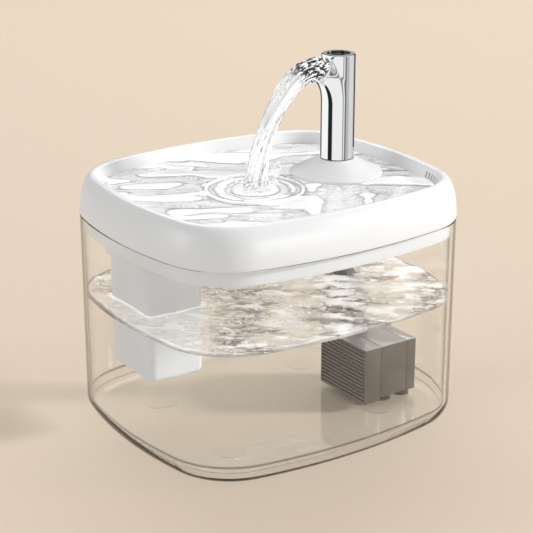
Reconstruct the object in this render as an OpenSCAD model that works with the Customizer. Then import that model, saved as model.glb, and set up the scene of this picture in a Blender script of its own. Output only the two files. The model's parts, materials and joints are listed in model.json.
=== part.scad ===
// Pet water fountain: a clear tank, a drinking tray that closes it, a tap with a side spout,
// a hanging filter box and a small submersible pump.
// Millimetres. The origin is the centre of the footprint on the floor, +Z is up and +X runs along
// the long side, from the filter end to the tap end. The front of the fountain faces -Y.

/* [Outline] */
// Length of the fountain from end to end
body_l = 200; // [190:1:215]
// Width from side to side
body_w = 177; // [168:1:190]
// Radius of the bowed short ends, seen from above
end_bow_r = 254; // [235:1:290]
// Radius of the bowed long sides, seen from above
side_bow_r = 330; // [300:1:380]
// Radius of the four upright corners
corner_r = 44; // [40:1:48]

/* [Tank] */
// Height of the clear tank
tank_h = 125; // [120:1:140]
// Thickness of the tank's wall
tank_wall = 3; // [2.4:0.1:3.6]
// Thickness of the tank's floor
tank_floor = 4; // [3:0.5:6]
// Radius of the tank's rounded bottom edge
tank_edge_r = 11; // [9:0.5:13]
// Thickness of the pads under the tank
pad_t = 1; // [0.8:0.1:2]
// Diameter of the pads under the tank
pad_d = 18; // [12:1:24]

/* [Tray] */
// Height of the tray's rim above the tank
rim_h = 23; // [20:0.5:26]
// How far the rounded rim leans in from the side to its crest
rim_lean = 8; // [6:0.5:9]
// Flat left on the crest of the rim
crest_w = 0.6; // [0.4:0.1:1.2]
// Radius of the rim's inner edge
lip_r = 2.5; // [1.5:0.1:3]
// Depth of the drinking basin below the crest
basin_depth = 13.5; // [12:0.5:15]
// Radius between the basin's wall and its floor
basin_fillet_r = 6; // [4:0.5:7]
// Thickness of the tray's walls
tray_wall = 2.4; // [2:0.1:2.8]
// How far the skirt reaches down into the tank
skirt_depth = 9; // [7:0.5:12]
// Thickness of the skirt
skirt_t = 2; // [1.6:0.1:2.4]
// Gap between the skirt and the tank's wall
skirt_gap = 0.4; // [0.3:0.1:0.6]
// Number of overflow slots in the basin's wall
slot_count = 8; // [6:1:10]
// Width of each overflow slot
slot_w = 1.5; // [1.2:0.1:1.8]
// Distance from one overflow slot to the next
slot_pitch = 3.2; // [2.8:0.1:3.6]
// Height of each overflow slot
slot_h = 4; // [3:0.25:4.25]
// Depth of the water in the basin, at which the overflow slots start
basin_water = 6.5; // [5.5:0.5:7]
// Width of the notch that lets the cord out at the back
cord_notch_w = 7; // [6:0.5:8]
// Height of that notch above the tank's rim
cord_notch_h = 6; // [5:0.5:7]

/* [Tap] */
// Distance of the tap's axis from its own end of the fountain
tap_end = 50; // [46:0.5:54]
// Outer diameter of the tap's tube
tap_d = 20; // [19:0.2:22]
// Height of the tap above its base
tap_h = 62; // [56:1:75]
// Thickness of the metal tube
tap_wall = 1.2; // [0.8:0.1:1.4]
// Outer diameter of the spout
spout_d = 15.8; // [14:0.2:16.5]
// Reach of the spout from the tap's axis, along the spout
spout_reach = 14.4; // [13:0.2:16]
// Angle at which the spout points up
spout_tilt = 30; // [22:1:34]
// Diameter of the dark disc in the tap's end
cap_d = 14; // [12:0.2:15]
// Depth of that disc below the end's ring
cap_sink = 1; // [0.6:0.1:1.4]
// Thickness of the disc
cap_t = 2.5; // [2:0.1:3]
// Diameter of the water passage in the tap
bore_d = 8; // [6:0.5:8.5]
// Diameter of the plug that holds the tap in its base
plug_d = 11.9; // [11:0.1:12.5]
// Length of that plug
plug_l = 19; // [16:0.5:20]
// Running gap around the plug
plug_gap = 0.07; // [0.05:0.01:0.1]
// Cross-section diameter of the plug's O-rings
oring_d = 1.3; // [1.2:0.1:1.5]
// Thickness of the washer under the tap
washer_t = 0.5; // [0.4:0.1:1]

/* [Tap base] */
// Diameter of the base's flange
base_d = 54; // [48:1:58]
// Height of the flange's edge above the basin's floor
base_edge_h = 7.5; // [6:0.5:9]
// Height of the cone above the flange's edge
base_cone_h = 8; // [6:0.5:10]
// Diameter of the threaded neck under the base
neck_d = 18; // [17:0.2:19]
// Height of the nut on the neck
nut_h = 5; // [4:0.5:6]
// Distance across the nut's flats
nut_af = 28; // [26:0.5:32]
// Thickness of the gasket under the base
gasket_t = 0.8; // [0.5:0.1:1]

/* [Hose] */
// Outer diameter of the tails that the hose slips over
tail_d = 9; // [8:0.1:9.4]
// Length of the tail under the tap's base
tail_l = 14; // [11:0.5:16]
// Length of the nozzle on top of the pump
nozzle_l = 12; // [10:0.5:14]
// Bore of the tails
tail_bore_d = 6; // [5:0.1:6.4]
// Radial gap between a tail and the hose's bore
hose_gap = 0.1; // [0.05:0.05:0.2]
// Wall of the hose
hose_wall = 1.9; // [1.5:0.1:2.2]
// Height of the hose's bend, between its straight ends
hose_bend_h = 38; // [34:1:44]

/* [Filter box] */
// Length of the filter box
box_l = 34.5; // [32:0.5:36]
// Width of the filter box
box_w = 46.5; // [44:0.5:48]
// Distance of the filter box from its own end of the fountain
box_end = 18.5; // [18:0.1:21]
// Distance of the filter box's middle from the fountain's, towards the back
box_y = 19.8; // [16:0.2:21]
// Height of the filter box's bottom above the floor
box_bottom = 38; // [30:1:46]
// How far the filter box plugs into the tray's socket
box_plug = 18; // [14:1:22]
// Length of the socket below the tray's floor
socket_l = 28; // [24:1:32]
// Wall of the filter box
box_wall = 1.8; // [1.4:0.1:2.2]
// Radius of the filter box's upright edges
box_r = 4.5; // [3.5:0.5:6]
// Chamfer around the filter box's bottom
box_chamfer = 2.5; // [1.5:0.5:3.5]
// Wall of the socket
socket_wall = 2.4; // [1.8:0.1:2.6]
// Gap between the filter box and its socket
socket_gap = 0.3; // [0.3:0.05:0.5]
// Length of the cartridge
cart_l = 23.4; // [21:0.2:24]
// Width of the cartridge
cart_w = 35.4; // [33:0.2:36]
// Wall of the cartridge
cart_wall = 1.2; // [1:0.1:1.6]
// Gap around the cartridge in the basin's window
cart_gap = 0.4; // [0.3:0.1:0.6]
// Width of the grille's rim outside the window
grille_rim = 1.2; // [1:0.1:1.4]
// Thickness of the grille
grille_t = 2; // [1.6:0.1:2.4]
// Height of the cotton pad
cotton_h = 14; // [10:1:18]
// Height of the softening resin
resin_h = 20; // [14:1:24]
// Height of the carbon
carbon_h = 36; // [28:1:40]

/* [Pump] */
// Length of the pump, from intake to rear cover
pump_l = 38.5; // [37:0.5:44]
// Width of the pump
pump_w = 44.5; // [42:0.5:48]
// Height of the pump's case
pump_h = 33.5; // [32:0.5:36]
// Distance between the pump's rear cover and the inside of the tank's end
pump_end = 16; // [13:0.5:20]
// Where the pump's own middle is, from the middle of the fountain towards the front
pump_y = 18.3; // [14:0.2:22]
// Depth of the intake cover
intake_depth = 12; // [11:0.5:14]
// How far the intake cover reaches below the case
intake_drop = 2; // [1:0.25:2.5]
// Height of the suction cups, from the tank's floor to the case
cup_h = 3.5; // [3:0.25:5]
// Diameter of the suction cups
cup_d = 10; // [8:0.5:12]
// Depth of the rear cover
rear_depth = 7; // [6:0.5:8]
// Wall of the pump's case
pump_wall = 1.8; // [1.4:0.1:2.2]
// Number of slots in the intake cover
grille_slots = 13; // [10:1:15]
// Share of each pitch that is open
slot_share = 0.5; // [0.4:0.05:0.55]
// Radius of the impeller chamber
chamber_r = 11.5; // [10.8:0.1:12]
// Depth of the impeller chamber
chamber_depth = 8; // [7:0.25:8.5]
// Radius of the impeller
impeller_r = 10.3; // [9.5:0.1:10.4]
// Number of impeller blades
blade_count = 5; // [4:1:7]
// Thickness of the blades
blade_t = 1.2; // [1:0.1:1.6]
// Diameter of the magnet rotor
rotor_d = 10; // [9:0.2:10.6]
// Diameter of the fixed shaft
shaft_d = 2; // [1.6:0.1:2.4]
// Running gap around the shaft
shaft_gap = 0.05; // [0.03:0.01:0.08]
// Gap between the rotor and its well
rotor_gap = 0.6; // [0.4:0.1:0.8]
// Wall of the rotor's well
well_wall = 1; // [0.8:0.1:1.2]
// Diameter of the hole in the chamber's cover
eye_d = 13; // [11.5:0.5:15]
// Thickness of the chamber's cover
cover_t = 2; // [1.6:0.1:2.4]
// Thickness of the motor's stack of steel sheets
core_t = 7; // [5.5:0.25:7]
// Width of the core's two legs and of its yoke
core_leg = 5.5; // [4.5:0.25:6]
// Gap between the core's legs
core_gap = 10.4; // [9.6:0.2:11.2]
// How far the core's legs reach past the rotor's axis
leg_reach = 9; // [7:0.25:10]
// Distance from the rotor's axis to the far face of the yoke
yoke_reach = 16; // [15:0.25:17]
// Thickness of the coil around the yoke
coil_t = 1.6; // [1.2:0.1:1.8]
// Diameter of the cord that the gland fits
cord_d = 3.4; // [3:0.1:4]
// Length of the gland
gland_l = 6; // [5:0.5:8]

/* [Hidden] */
$fn = 48;

// Colours
clear = [0.86, 0.90, 0.92, 0.35];
white = [0.95, 0.95, 0.94];
frost = [0.90, 0.92, 0.93, 0.8];
smoke = [0.36, 0.32, 0.29];
chrome = [0.80, 0.81, 0.83];
rubber = [0.72, 0.72, 0.72];
dark = [0.05, 0.05, 0.06];

// How far a cut runs past the face it opens
over = 1;
// Small standoff between pieces that would otherwise share a curved face
fit = 0.05;

// ---- Outline: four bowed sides joined by four corner arcs, all tangent ----
end_c = [body_l / 2 - end_bow_r, 0];
side_c = [0, body_w / 2 - side_bow_r];
end_reach = end_bow_r - corner_r;
side_reach = side_bow_r - corner_r;
centre_gap = norm(end_c - side_c);
along = (pow(end_reach, 2) - pow(side_reach, 2) + pow(centre_gap, 2)) / (2 * centre_gap);
across = sqrt(pow(end_reach, 2) - pow(along, 2));
gap_dir = (side_c - end_c) / centre_gap;
corner_c = end_c + along * gap_dir + across * [-gap_dir[1], gap_dir[0]];
end_half = atan2(corner_c[1], corner_c[0] - end_c[0]);
side_half = atan2(corner_c[0], corner_c[1] - side_c[1]);
// Steps of each kind of arc
bow_steps = 6;
corner_steps = 8;
round_steps = 5;
rim_steps = 8;
lip_steps = 4;

// Heights
tank_z = pad_t;
tank_floor_z = tank_z + tank_floor;
seam_z = tank_z + tank_h;
crest_z = seam_z + rim_h;
basin_z = crest_z - basin_depth;
tray_under_z = basin_z - tray_wall;
ledge_z = seam_z + tray_wall;
skirt_z = seam_z - skirt_depth;
water_z = basin_z + basin_water;

// Insets of the tray's faces from the outline
skirt_out = tank_wall + skirt_gap;
skirt_in = skirt_out + skirt_t;
crest_in = rim_lean + crest_w;
basin_in = crest_in + lip_r;
basin_draft = 1.2;

// Inside of the skirt at the cord's notch, which sits beside a corner's centre
notch_y = side_c[1] + sqrt(pow(side_bow_r - skirt_in, 2) - pow(corner_c[0], 2));

// Tap
tap_x = body_l / 2 - tap_end;
base_edge_z = basin_z + base_edge_h;
base_top_z = base_edge_z + base_cone_h;
tap_z = base_top_z + washer_t;
tap_top_z = tap_z + tap_h;
tap_r = tap_d / 2;
tap_bore_r = tap_r - tap_wall;
spout_r = spout_d / 2;
spout_bore_r = spout_r - tap_wall;
// The spout's upper lip ends just under the tap's rim
lip_drop = 0.5;
spout_z = tap_top_z - lip_drop - spout_reach * sin(spout_tilt) - spout_r * cos(spout_tilt);
plug_r = plug_d / 2;
plug_end_z = base_top_z - plug_l;
socket_r = plug_r + plug_gap;
oring_r = oring_d / 2;
oring_track_r = socket_r - oring_r - plug_gap;
oring_z = [for (share = [0.35, 0.65]) plug_end_z + share * plug_l];
// The grooves of the O-rings are a little taller than the rings
groove_h = 1.2 * oring_d;
neck_r = neck_d / 2;
// Thread that shows below the nut
neck_spare = 2;
neck_end_z = tray_under_z - nut_h - neck_spare;
tail_r = tail_d / 2;
tail_bore_r = tail_bore_d / 2;
tail_end_z = neck_end_z - tail_l;

// Pump. Its motor axis runs along X
pump_back = body_l / 2 - tank_wall - pump_end;
pump_front = pump_back - pump_l;
case_front = pump_front + intake_depth;
case_back = pump_back - rear_depth;
case_z = tank_floor_z + cup_h;
case_top_z = case_z + pump_h;
motor_y = -pump_y;
motor_z = case_z + pump_h / 2;
chamber_back = case_front + chamber_depth;
well_r = rotor_d / 2 + rotor_gap;
shaft_r = shaft_d / 2;
well_end = case_back - pump_wall;
bush_l = 1.5;
bush_r = 2.2;
// Play at the ends of the rotor and around the impeller's plate
end_play = 0.3;
plate_play = 0.7;
plate_t = 1;
shaft_start = case_front - bush_l;
rotor_start = chamber_back + plate_play;
rotor_end = well_end - bush_l - end_play;
// Pocket behind the chamber, which holds the motor
pocket_front = chamber_back + pump_wall;
pocket_w = pump_w - 2 * pump_wall;
pocket_h = pump_h - 2 * pump_wall;
core_x = pocket_front + coil_t + end_play;
core_back = core_x + core_t;
potting_back = core_back + coil_t + end_play;
// The nozzle leaves the chamber's edge, just behind the case's front
edge_play = 0.3;
nozzle_x = case_front + tail_r + edge_play;
nozzle_y = motor_y + chamber_r - tail_bore_r - edge_play;
// The gland sits in the top of the rear cover
gland_drop = 7;
gland_up = pump_h / 2 - gland_drop;
gland_wall = 1.7;
gland_taper = 0.9;
gland_r = cord_d / 2 + gland_wall;
nozzle_top_z = case_top_z + nozzle_l;

// Hose: straight over each tail, with an S bend of two equal arcs between
hose_in_r = tail_r + hose_gap;
hose_out_r = hose_in_r + hose_wall;
hose_sides = 16;
// The hose stops short of the case and of the neck, and bends just clear of the nozzle
hose_stop = 2;
hose_low_z = case_top_z + hose_stop;
hose_high_z = neck_end_z - hose_stop;
hose_bend_z = nozzle_top_z + hose_stop;
hose_bend_top = hose_bend_z + hose_bend_h;
hose_shift = [nozzle_x - tap_x, nozzle_y];
hose_off = norm(hose_shift);
hose_turn = 2 * atan(hose_off / hose_bend_h);
hose_bend_r = hose_bend_h / (2 * sin(hose_turn));
hose_dir = hose_shift / hose_off;
bend_steps = 6;

// Filter box, socket and cartridge
box_c = [box_end + box_l / 2 - body_l / 2, box_y];
socket_z = tray_under_z - socket_l;
box_top_z = socket_z + box_plug;
window_l = cart_l + 2 * cart_gap;
window_w = cart_w + 2 * cart_gap;
grille_l = window_l + 2 * grille_rim;
grille_w = window_w + 2 * grille_rim;
grille_sink = 1;
grille_z = basin_z - grille_sink;
// The filter media lie on each other, under the grille
media_gap = 0.5;
media_l = cart_l - 2 * cart_wall - media_gap;
media_w = cart_w - 2 * cart_wall - media_gap;
cart_top_z = grille_z - tray_wall;
cotton_z = cart_top_z - media_gap - cotton_h;
resin_z = cotton_z - resin_h;
carbon_z = resin_z - carbon_h;
cart_z = carbon_z - cart_wall;

// ---- Outline functions ----
function arc_points(c, r, from, to, steps) =
    [for (i = [0 : steps - 1]) let (a = from + (to - from) * i / steps) c + r * [cos(a), sin(a)]];

function outline(inset) = concat(
    arc_points(end_c, end_bow_r - inset, -end_half, end_half, bow_steps),
    arc_points(corner_c, corner_r - inset, end_half, 90 - side_half, corner_steps),
    arc_points(side_c, side_bow_r - inset, 90 - side_half, 90 + side_half, bow_steps),
    arc_points([-corner_c[0], corner_c[1]], corner_r - inset, 90 + side_half, 180 - end_half, corner_steps),
    arc_points(-end_c, end_bow_r - inset, 180 - end_half, 180 + end_half, bow_steps),
    arc_points(-corner_c, corner_r - inset, 180 + end_half, 270 - side_half, corner_steps),
    arc_points(-side_c, side_bow_r - inset, 270 - side_half, 270 + side_half, bow_steps),
    arc_points([corner_c[0], -corner_c[1]], corner_r - inset, 270 + side_half, 360 - end_half, corner_steps)
);

function rounded(l, w, r) = concat(
    arc_points([l / 2 - r, w / 2 - r], r, 0, 90, round_steps + 1),
    arc_points([r - l / 2, w / 2 - r], r, 90, 180, round_steps + 1),
    arc_points([r - l / 2, r - w / 2], r, 180, 270, round_steps + 1),
    arc_points([l / 2 - r, r - w / 2], r, 270, 360, round_steps + 1)
);

function lift(points, z) = [for (p = points) [p[0], p[1], z]];

// Rings of points, one above the other, joined into a closed solid
module loft(rings) {
    n = len(rings[0]);
    last = (len(rings) - 1) * n;
    polyhedron(
        points = [for (ring = rings) each ring],
        faces = concat(
            [[for (i = [0 : n - 1]) i]],
            [[for (i = [n - 1 : -1 : 0]) last + i]],
            [for (j = [0 : n : last - n], i = [0 : n - 1])
                [j + i, j + n + i, j + n + (i + 1) % n, j + (i + 1) % n]]
        )
    );
}

// A solid whose outline is inset by the first value of each level at the height of its second
module body(levels) {
    loft([for (level = levels) lift(outline(level[0]), level[1])]);
}

function reverse(list) = [for (i = [len(list) - 1 : -1 : 0]) list[i]];

// A quarter round from [inset + r, z] at its foot to [inset, z + r]
function foot_round(inset, z, r) =
    [for (i = [0 : round_steps]) let (a = 90 * i / round_steps)
        [inset + r * (1 - sin(a)), z + r * (1 - cos(a))]];

// ---- Tank ----
module tank() {
    color(clear) body(concat(
        foot_round(0, tank_z, tank_edge_r),
        [[0, seam_z], [tank_wall, seam_z]],
        reverse(foot_round(tank_wall, tank_floor_z, tank_edge_r - tank_wall))
    ));
}

module tank_pads() {
    color(rubber) for (x = [-corner_c[0], corner_c[0]], y = [-corner_c[1], corner_c[1]])
        translate([x, y, 0]) cylinder(h = pad_t, d = pad_d);
}

// ---- Tray ----
// A quarter ellipse that rises from low to high while it leans in from the inset
function rim_arc(inset, lean, low, high) =
    [for (i = [0 : rim_steps]) let (a = 90 * i / rim_steps)
        [inset + lean * (1 - cos(a)), low + (high - low) * sin(a)]];

// The tray's section: under the basin, down inside the rim and the skirt, up their outside, and
// over the crest into the basin
function tray_levels() = concat(
    foot_round(basin_in + basin_draft - tray_wall, tray_under_z, basin_fillet_r),
    reverse(rim_arc(tray_wall, basin_in - 2 * tray_wall, ledge_z, crest_z - tray_wall)),
    [[skirt_in, ledge_z], [skirt_in, skirt_z], [skirt_out, skirt_z], [skirt_out, seam_z]],
    rim_arc(0, rim_lean, seam_z, crest_z),
    [for (i = [lip_steps : -1 : 0]) let (a = 90 * i / lip_steps)
        [crest_in + lip_r * cos(a), crest_z - lip_r + lip_r * sin(a)]],
    reverse(foot_round(basin_in + basin_draft, basin_z, basin_fillet_r))
);

// Overflow slots along the basin's wall, in the corner beside the tap
module overflow_slots() {
    slot_out = basin_in - tray_wall - over / 2;
    slot_in = basin_in + basin_draft + over;
    turn = slot_pitch / (corner_r - basin_in) * 180 / PI;
    for (i = [0 : slot_count - 1])
        translate([corner_c[0], -corner_c[1], water_z]) rotate(-turn * (i + 0.5))
            translate([corner_r - slot_in, -slot_w / 2, 0]) cube([slot_in - slot_out, slot_w, slot_h]);
}

module box_socket() {
    outer_l = box_l + 2 * (socket_gap + socket_wall);
    outer_w = box_w + 2 * (socket_gap + socket_wall);
    inner_l = box_l + 2 * socket_gap;
    inner_w = box_w + 2 * socket_gap;
    // The socket's walls run half way into the tray's floor
    translate([box_c[0], box_c[1], socket_z]) linear_extrude(socket_l + tray_wall / 2) difference() {
        polygon(rounded(outer_l, outer_w, box_r + socket_gap + socket_wall));
        polygon(rounded(inner_l, inner_w, box_r + socket_gap));
    }
}

module tray() {
    color(white) difference() {
        union() {
            body(tray_levels());
            box_socket();
        }
        translate([box_c[0] - window_l / 2, box_c[1] - window_w / 2, tray_under_z - over])
            cube([window_l, window_w, tray_wall + 2 * over]);
        translate([box_c[0] - grille_l / 2 - fit, box_c[1] - grille_w / 2 - fit, grille_z])
            cube([grille_l + 2 * fit, grille_w + 2 * fit, grille_sink + over]);
        translate([tap_x, 0, tray_under_z - over]) cylinder(h = tray_wall + 2 * over, r = neck_r + fit);
        overflow_slots();
        translate([corner_c[0] - cord_notch_w / 2, notch_y - over, skirt_z - over])
            cube([cord_notch_w, body_w / 2 - notch_y + 2 * over, skirt_depth + cord_notch_h + over]);
    }
}

// ---- Tap ----
module faucet_base() {
    wall = tray_wall;
    edge_r = base_d / 2;
    foot_z = basin_z + gasket_t;
    // The cone ends in a narrow ledge around the tap, and the flange flares a little towards its foot
    top_r = tap_r + 1;
    flare = 0.8;
    color(white) translate([tap_x, 0, 0]) rotate_extrude($fn = 96) polygon([
        [socket_r, plug_end_z - over], [socket_r, base_top_z], [top_r, base_top_z],
        [edge_r, base_edge_z], [edge_r + flare, foot_z], [edge_r + flare - wall, foot_z],
        [edge_r - wall, base_edge_z - wall],
        [neck_r + wall, base_top_z - 2 * wall], [neck_r + wall, foot_z],
        [neck_r, foot_z], [neck_r, neck_end_z], [tail_r, neck_end_z], [tail_r, tail_end_z],
        [tail_bore_r, tail_end_z], [tail_bore_r, plug_end_z - over]
    ]);
}

module base_gasket() {
    color(rubber) translate([tap_x, 0, basin_z]) difference() {
        cylinder(h = gasket_t, r = neck_r + tray_wall);
        translate([0, 0, -over]) cylinder(h = gasket_t + 2 * over, r = neck_r + fit);
    }
}

module base_nut() {
    color(white) translate([tap_x, 0, tray_under_z - nut_h]) difference() {
        cylinder(h = nut_h, d = nut_af / cos(30), $fn = 6);
        translate([0, 0, -over]) cylinder(h = nut_h + 2 * over, r = neck_r + fit, $fn = 48);
    }
}

module faucet_washer() {
    play = 0.3;
    color(rubber) translate([tap_x, 0, base_top_z]) difference() {
        cylinder(h = washer_t, r = tap_r);
        translate([0, 0, -over]) cylinder(h = washer_t + 2 * over, r = plug_r + play);
    }
}

// Draws its children with their Z axis along the spout, starting on the tap's axis
module on_spout() {
    translate([tap_x, 0, spout_z]) rotate([0, spout_tilt - 90, 0]) children();
}

module faucet_tube() {
    color(chrome) difference() {
        union() {
            translate([tap_x, 0, tap_z]) cylinder(h = tap_h, r = tap_r, $fn = 96);
            on_spout() cylinder(h = spout_reach, r = spout_r, $fn = 96);
        }
        translate([tap_x, 0, tap_z - over]) cylinder(h = tap_h + over - cap_sink - cap_t, r = tap_bore_r);
        translate([tap_x, 0, tap_z]) cylinder(h = tap_h + over, r = cap_d / 2 + fit);
        on_spout() cylinder(h = spout_reach + over, r = spout_bore_r);
    }
}

module faucet_liner() {
    liner_r = tap_bore_r - fit;
    color(white) difference() {
        union() {
            translate([tap_x, 0, plug_end_z]) cylinder(h = plug_l + washer_t + over, r = plug_r);
            translate([tap_x, 0, tap_z]) cylinder(h = spout_z - tap_z, r = liner_r);
        }
        translate([tap_x, 0, plug_end_z - over]) cylinder(h = tap_h + plug_l, d = bore_d);
        on_spout() cylinder(h = spout_reach, r = spout_bore_r + fit);
        for (z = oring_z) translate([tap_x, 0, z - groove_h / 2]) difference() {
            cylinder(h = groove_h, r = plug_r + over);
            translate([0, 0, -over]) cylinder(h = groove_h + 2 * over, r = oring_track_r - oring_r - fit);
        }
    }
}

module faucet_cap() {
    color(dark) translate([tap_x, 0, tap_top_z - cap_sink - cap_t]) cylinder(h = cap_t, d = cap_d);
}

module faucet_orings() {
    color(dark) for (z = oring_z)
        translate([tap_x, 0, z]) rotate_extrude() translate([oring_track_r, 0]) circle(r = oring_r);
}

// ---- Filter ----
module filter_box() {
    cavity_l = box_l - 2 * box_wall;
    cavity_w = box_w - 2 * box_wall;
    cavity_r = box_r - box_wall / 2;
    cavity_z = box_bottom + box_wall;
    drain_l = cavity_l - 4 * box_chamfer;
    drain_w = 2;
    drain_pitch = 5;
    drains_each_side = 3;
    color(frost) translate([box_c[0], box_c[1], 0]) difference() {
        loft([
            lift(rounded(box_l - 2 * box_chamfer, box_w - 2 * box_chamfer, box_r), box_bottom),
            lift(rounded(box_l, box_w, box_r), box_bottom + box_chamfer),
            lift(rounded(box_l, box_w, box_r), box_top_z)
        ]);
        loft([
            lift(rounded(cavity_l - 2 * box_chamfer, cavity_w - 2 * box_chamfer, cavity_r), cavity_z),
            lift(rounded(cavity_l, cavity_w, cavity_r), cavity_z + box_chamfer),
            lift(rounded(cavity_l, cavity_w, cavity_r), box_top_z + over)
        ]);
        for (i = [-drains_each_side : drains_each_side])
            translate([-drain_l / 2, drain_pitch * i - drain_w / 2, box_bottom - over])
                cube([drain_l, drain_w, box_wall + 2 * over]);
    }
}

module filter_grille() {
    pitch = 3.2;
    opening = 1.8;
    margin = 3;
    last = floor((cart_w / 2 - margin) / pitch);
    color(white) translate([box_c[0], box_c[1], grille_z]) difference() {
        union() {
            translate([-grille_l / 2, -grille_w / 2, 0]) cube([grille_l, grille_w, grille_t]);
            translate([-cart_l / 2, -cart_w / 2, -tray_wall]) cube([cart_l, cart_w, tray_wall + over]);
        }
        for (i = [-last : last])
            translate([margin - cart_l / 2, pitch * i - opening / 2, -tray_wall - over])
                cube([cart_l - 2 * margin, opening, tray_wall + grille_t + 2 * over]);
    }
}

module cartridge_frame() {
    pitch = cart_w / 6;
    window_w = pitch - 2 * cart_wall;
    margin = 4;
    color(frost) translate([box_c[0], box_c[1], cart_z]) difference() {
        translate([-cart_l / 2, -cart_w / 2, 0]) cube([cart_l, cart_w, cart_top_z - cart_z]);
        translate([cart_wall - cart_l / 2, cart_wall - cart_w / 2, cart_wall])
            cube([cart_l - 2 * cart_wall, cart_w - 2 * cart_wall, cart_top_z - cart_z]);
        // Windows beside the carbon, and slots in the bottom
        for (i = [-2 : 2]) translate([0, pitch * i - window_w / 2, 0]) {
            translate([-cart_l, 0, margin]) cube([2 * cart_l, window_w, carbon_h - 2 * margin]);
            translate([margin - cart_l / 2, 0, -over])
                cube([cart_l - 2 * margin, window_w, cart_wall + 2 * over]);
        }
    }
}

module medium(z, h) {
    translate([box_c[0] - media_l / 2, box_c[1] - media_w / 2, z]) cube([media_l, media_w, h]);
}

module filter_cotton() {
    color([0.97, 0.97, 0.95]) medium(cotton_z, cotton_h);
}

module filter_resin() {
    color([0.82, 0.62, 0.25]) medium(resin_z, resin_h);
}

module filter_carbon() {
    color([0.12, 0.12, 0.12]) medium(carbon_z, carbon_h);
}

// ---- Hose ----
// Points of the hose's middle line, from the pump up to the tap's base
function hose_line() = concat(
    [[hose_shift[0], hose_shift[1], hose_low_z]],
    [for (i = [0 : bend_steps]) let (
        a = hose_turn * i / bend_steps,
        side = hose_off - hose_bend_r * (1 - cos(a))
    ) [side * hose_dir[0], side * hose_dir[1], hose_bend_z + hose_bend_r * sin(a)]],
    [for (i = [bend_steps - 1 : -1 : 0]) let (
        a = hose_turn * i / bend_steps,
        side = hose_bend_r * (1 - cos(a))
    ) [side * hose_dir[0], side * hose_dir[1], hose_bend_top - hose_bend_r * sin(a)]],
    [[0, 0, hose_high_z]]
);

// Lean of the line at each of its points
function hose_leans() = concat(
    [0],
    [for (i = [0 : bend_steps]) hose_turn * i / bend_steps],
    [for (i = [bend_steps - 1 : -1 : 0]) hose_turn * i / bend_steps],
    [0]
);

function hose_ring(p, lean, r) = [for (i = [0 : hose_sides - 1]) let (
    a = 360 * i / hose_sides,
    u = r * cos(a),
    v = r * sin(a)
) [
    p[0] + u * cos(lean) * hose_dir[0] - v * hose_dir[1],
    p[1] + u * cos(lean) * hose_dir[1] + v * hose_dir[0],
    p[2] + u * sin(lean)
]];

module riser_hose() {
    line = hose_line();
    leans = hose_leans();
    tight = cos(180 / hose_sides);
    last = len(line) - 1;
    color([0.9, 0.9, 0.88, 0.7]) translate([tap_x, 0, 0]) difference() {
        loft([for (i = [0 : last]) hose_ring(line[i], leans[i], hose_out_r)]);
        loft([for (i = [0 : last])
            hose_ring(line[i] + (i == 0 ? [0, 0, -over] : i == last ? [0, 0, over] : [0, 0, 0]),
                leans[i], hose_in_r / tight)]);
    }
}

// ---- Pump ----
// Draws its children with their Z axis along the motor's axis, starting at x
module on_motor(x) {
    translate([x, motor_y, motor_z]) rotate([0, 90, 0]) children();
}

// A block of the case's full width, from low up to the case's top
module case_block(from, to, low) {
    translate([from, motor_y - pump_w / 2, low]) cube([to - from, pump_w, case_top_z - low]);
}

// The space for the motor, from behind the chamber to a face at x, less a gap all round
module motor_pocket(to, gap = 0) {
    translate([pocket_front + gap, motor_y - pocket_w / 2 + gap, case_z + pump_wall + gap])
        cube([to - pocket_front - gap, pocket_w - 2 * gap, pocket_h - 2 * gap]);
}

module pump_housing() {
    color(smoke) difference() {
        union() {
            case_block(case_front, case_back, case_z);
            translate([nozzle_x, nozzle_y, case_top_z - over]) cylinder(h = nozzle_l + over, r = tail_r);
        }
        on_motor(case_front - over) cylinder(h = chamber_depth + over, r = chamber_r);
        on_motor(case_front) cylinder(h = well_end - case_front, r = well_r);
        translate([nozzle_x, nozzle_y, motor_z])
            cylinder(h = nozzle_top_z - motor_z + over, r = tail_bore_r);
        difference() {
            motor_pocket(case_back + over);
            on_motor(pocket_front - over)
                cylinder(h = case_back - pocket_front + over, r = well_r + well_wall);
        }
    }
}

module intake_cover() {
    low = case_z - intake_drop;
    cover_h = case_top_z - low;
    pitch = (cover_h - 2 * pump_wall) / grille_slots;
    color(smoke) difference() {
        case_block(pump_front, case_front - fit, low);
        translate([pump_front + pump_wall, motor_y - pump_w / 2 + pump_wall, low + pump_wall])
            cube([intake_depth, pump_w - 2 * pump_wall, cover_h - 2 * pump_wall]);
        for (i = [0 : grille_slots - 1])
            translate([pump_front - over, motor_y - pump_w / 2 + 2 * pump_wall,
                low + pump_wall + pitch * (i + (1 - slot_share) / 2)])
                cube([pump_wall + 2 * over, pump_w - 4 * pump_wall, slot_share * pitch]);
    }
}

module pump_sponge() {
    sponge_t = 4;
    low = case_z - intake_drop + pump_wall;
    color([0.15, 0.15, 0.16])
        translate([pump_front + pump_wall + fit, motor_y - pump_w / 2 + pump_wall + fit, low + fit])
            cube([sponge_t, pump_w - 2 * pump_wall - 2 * fit, case_top_z - low - pump_wall - 2 * fit]);
}

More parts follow.
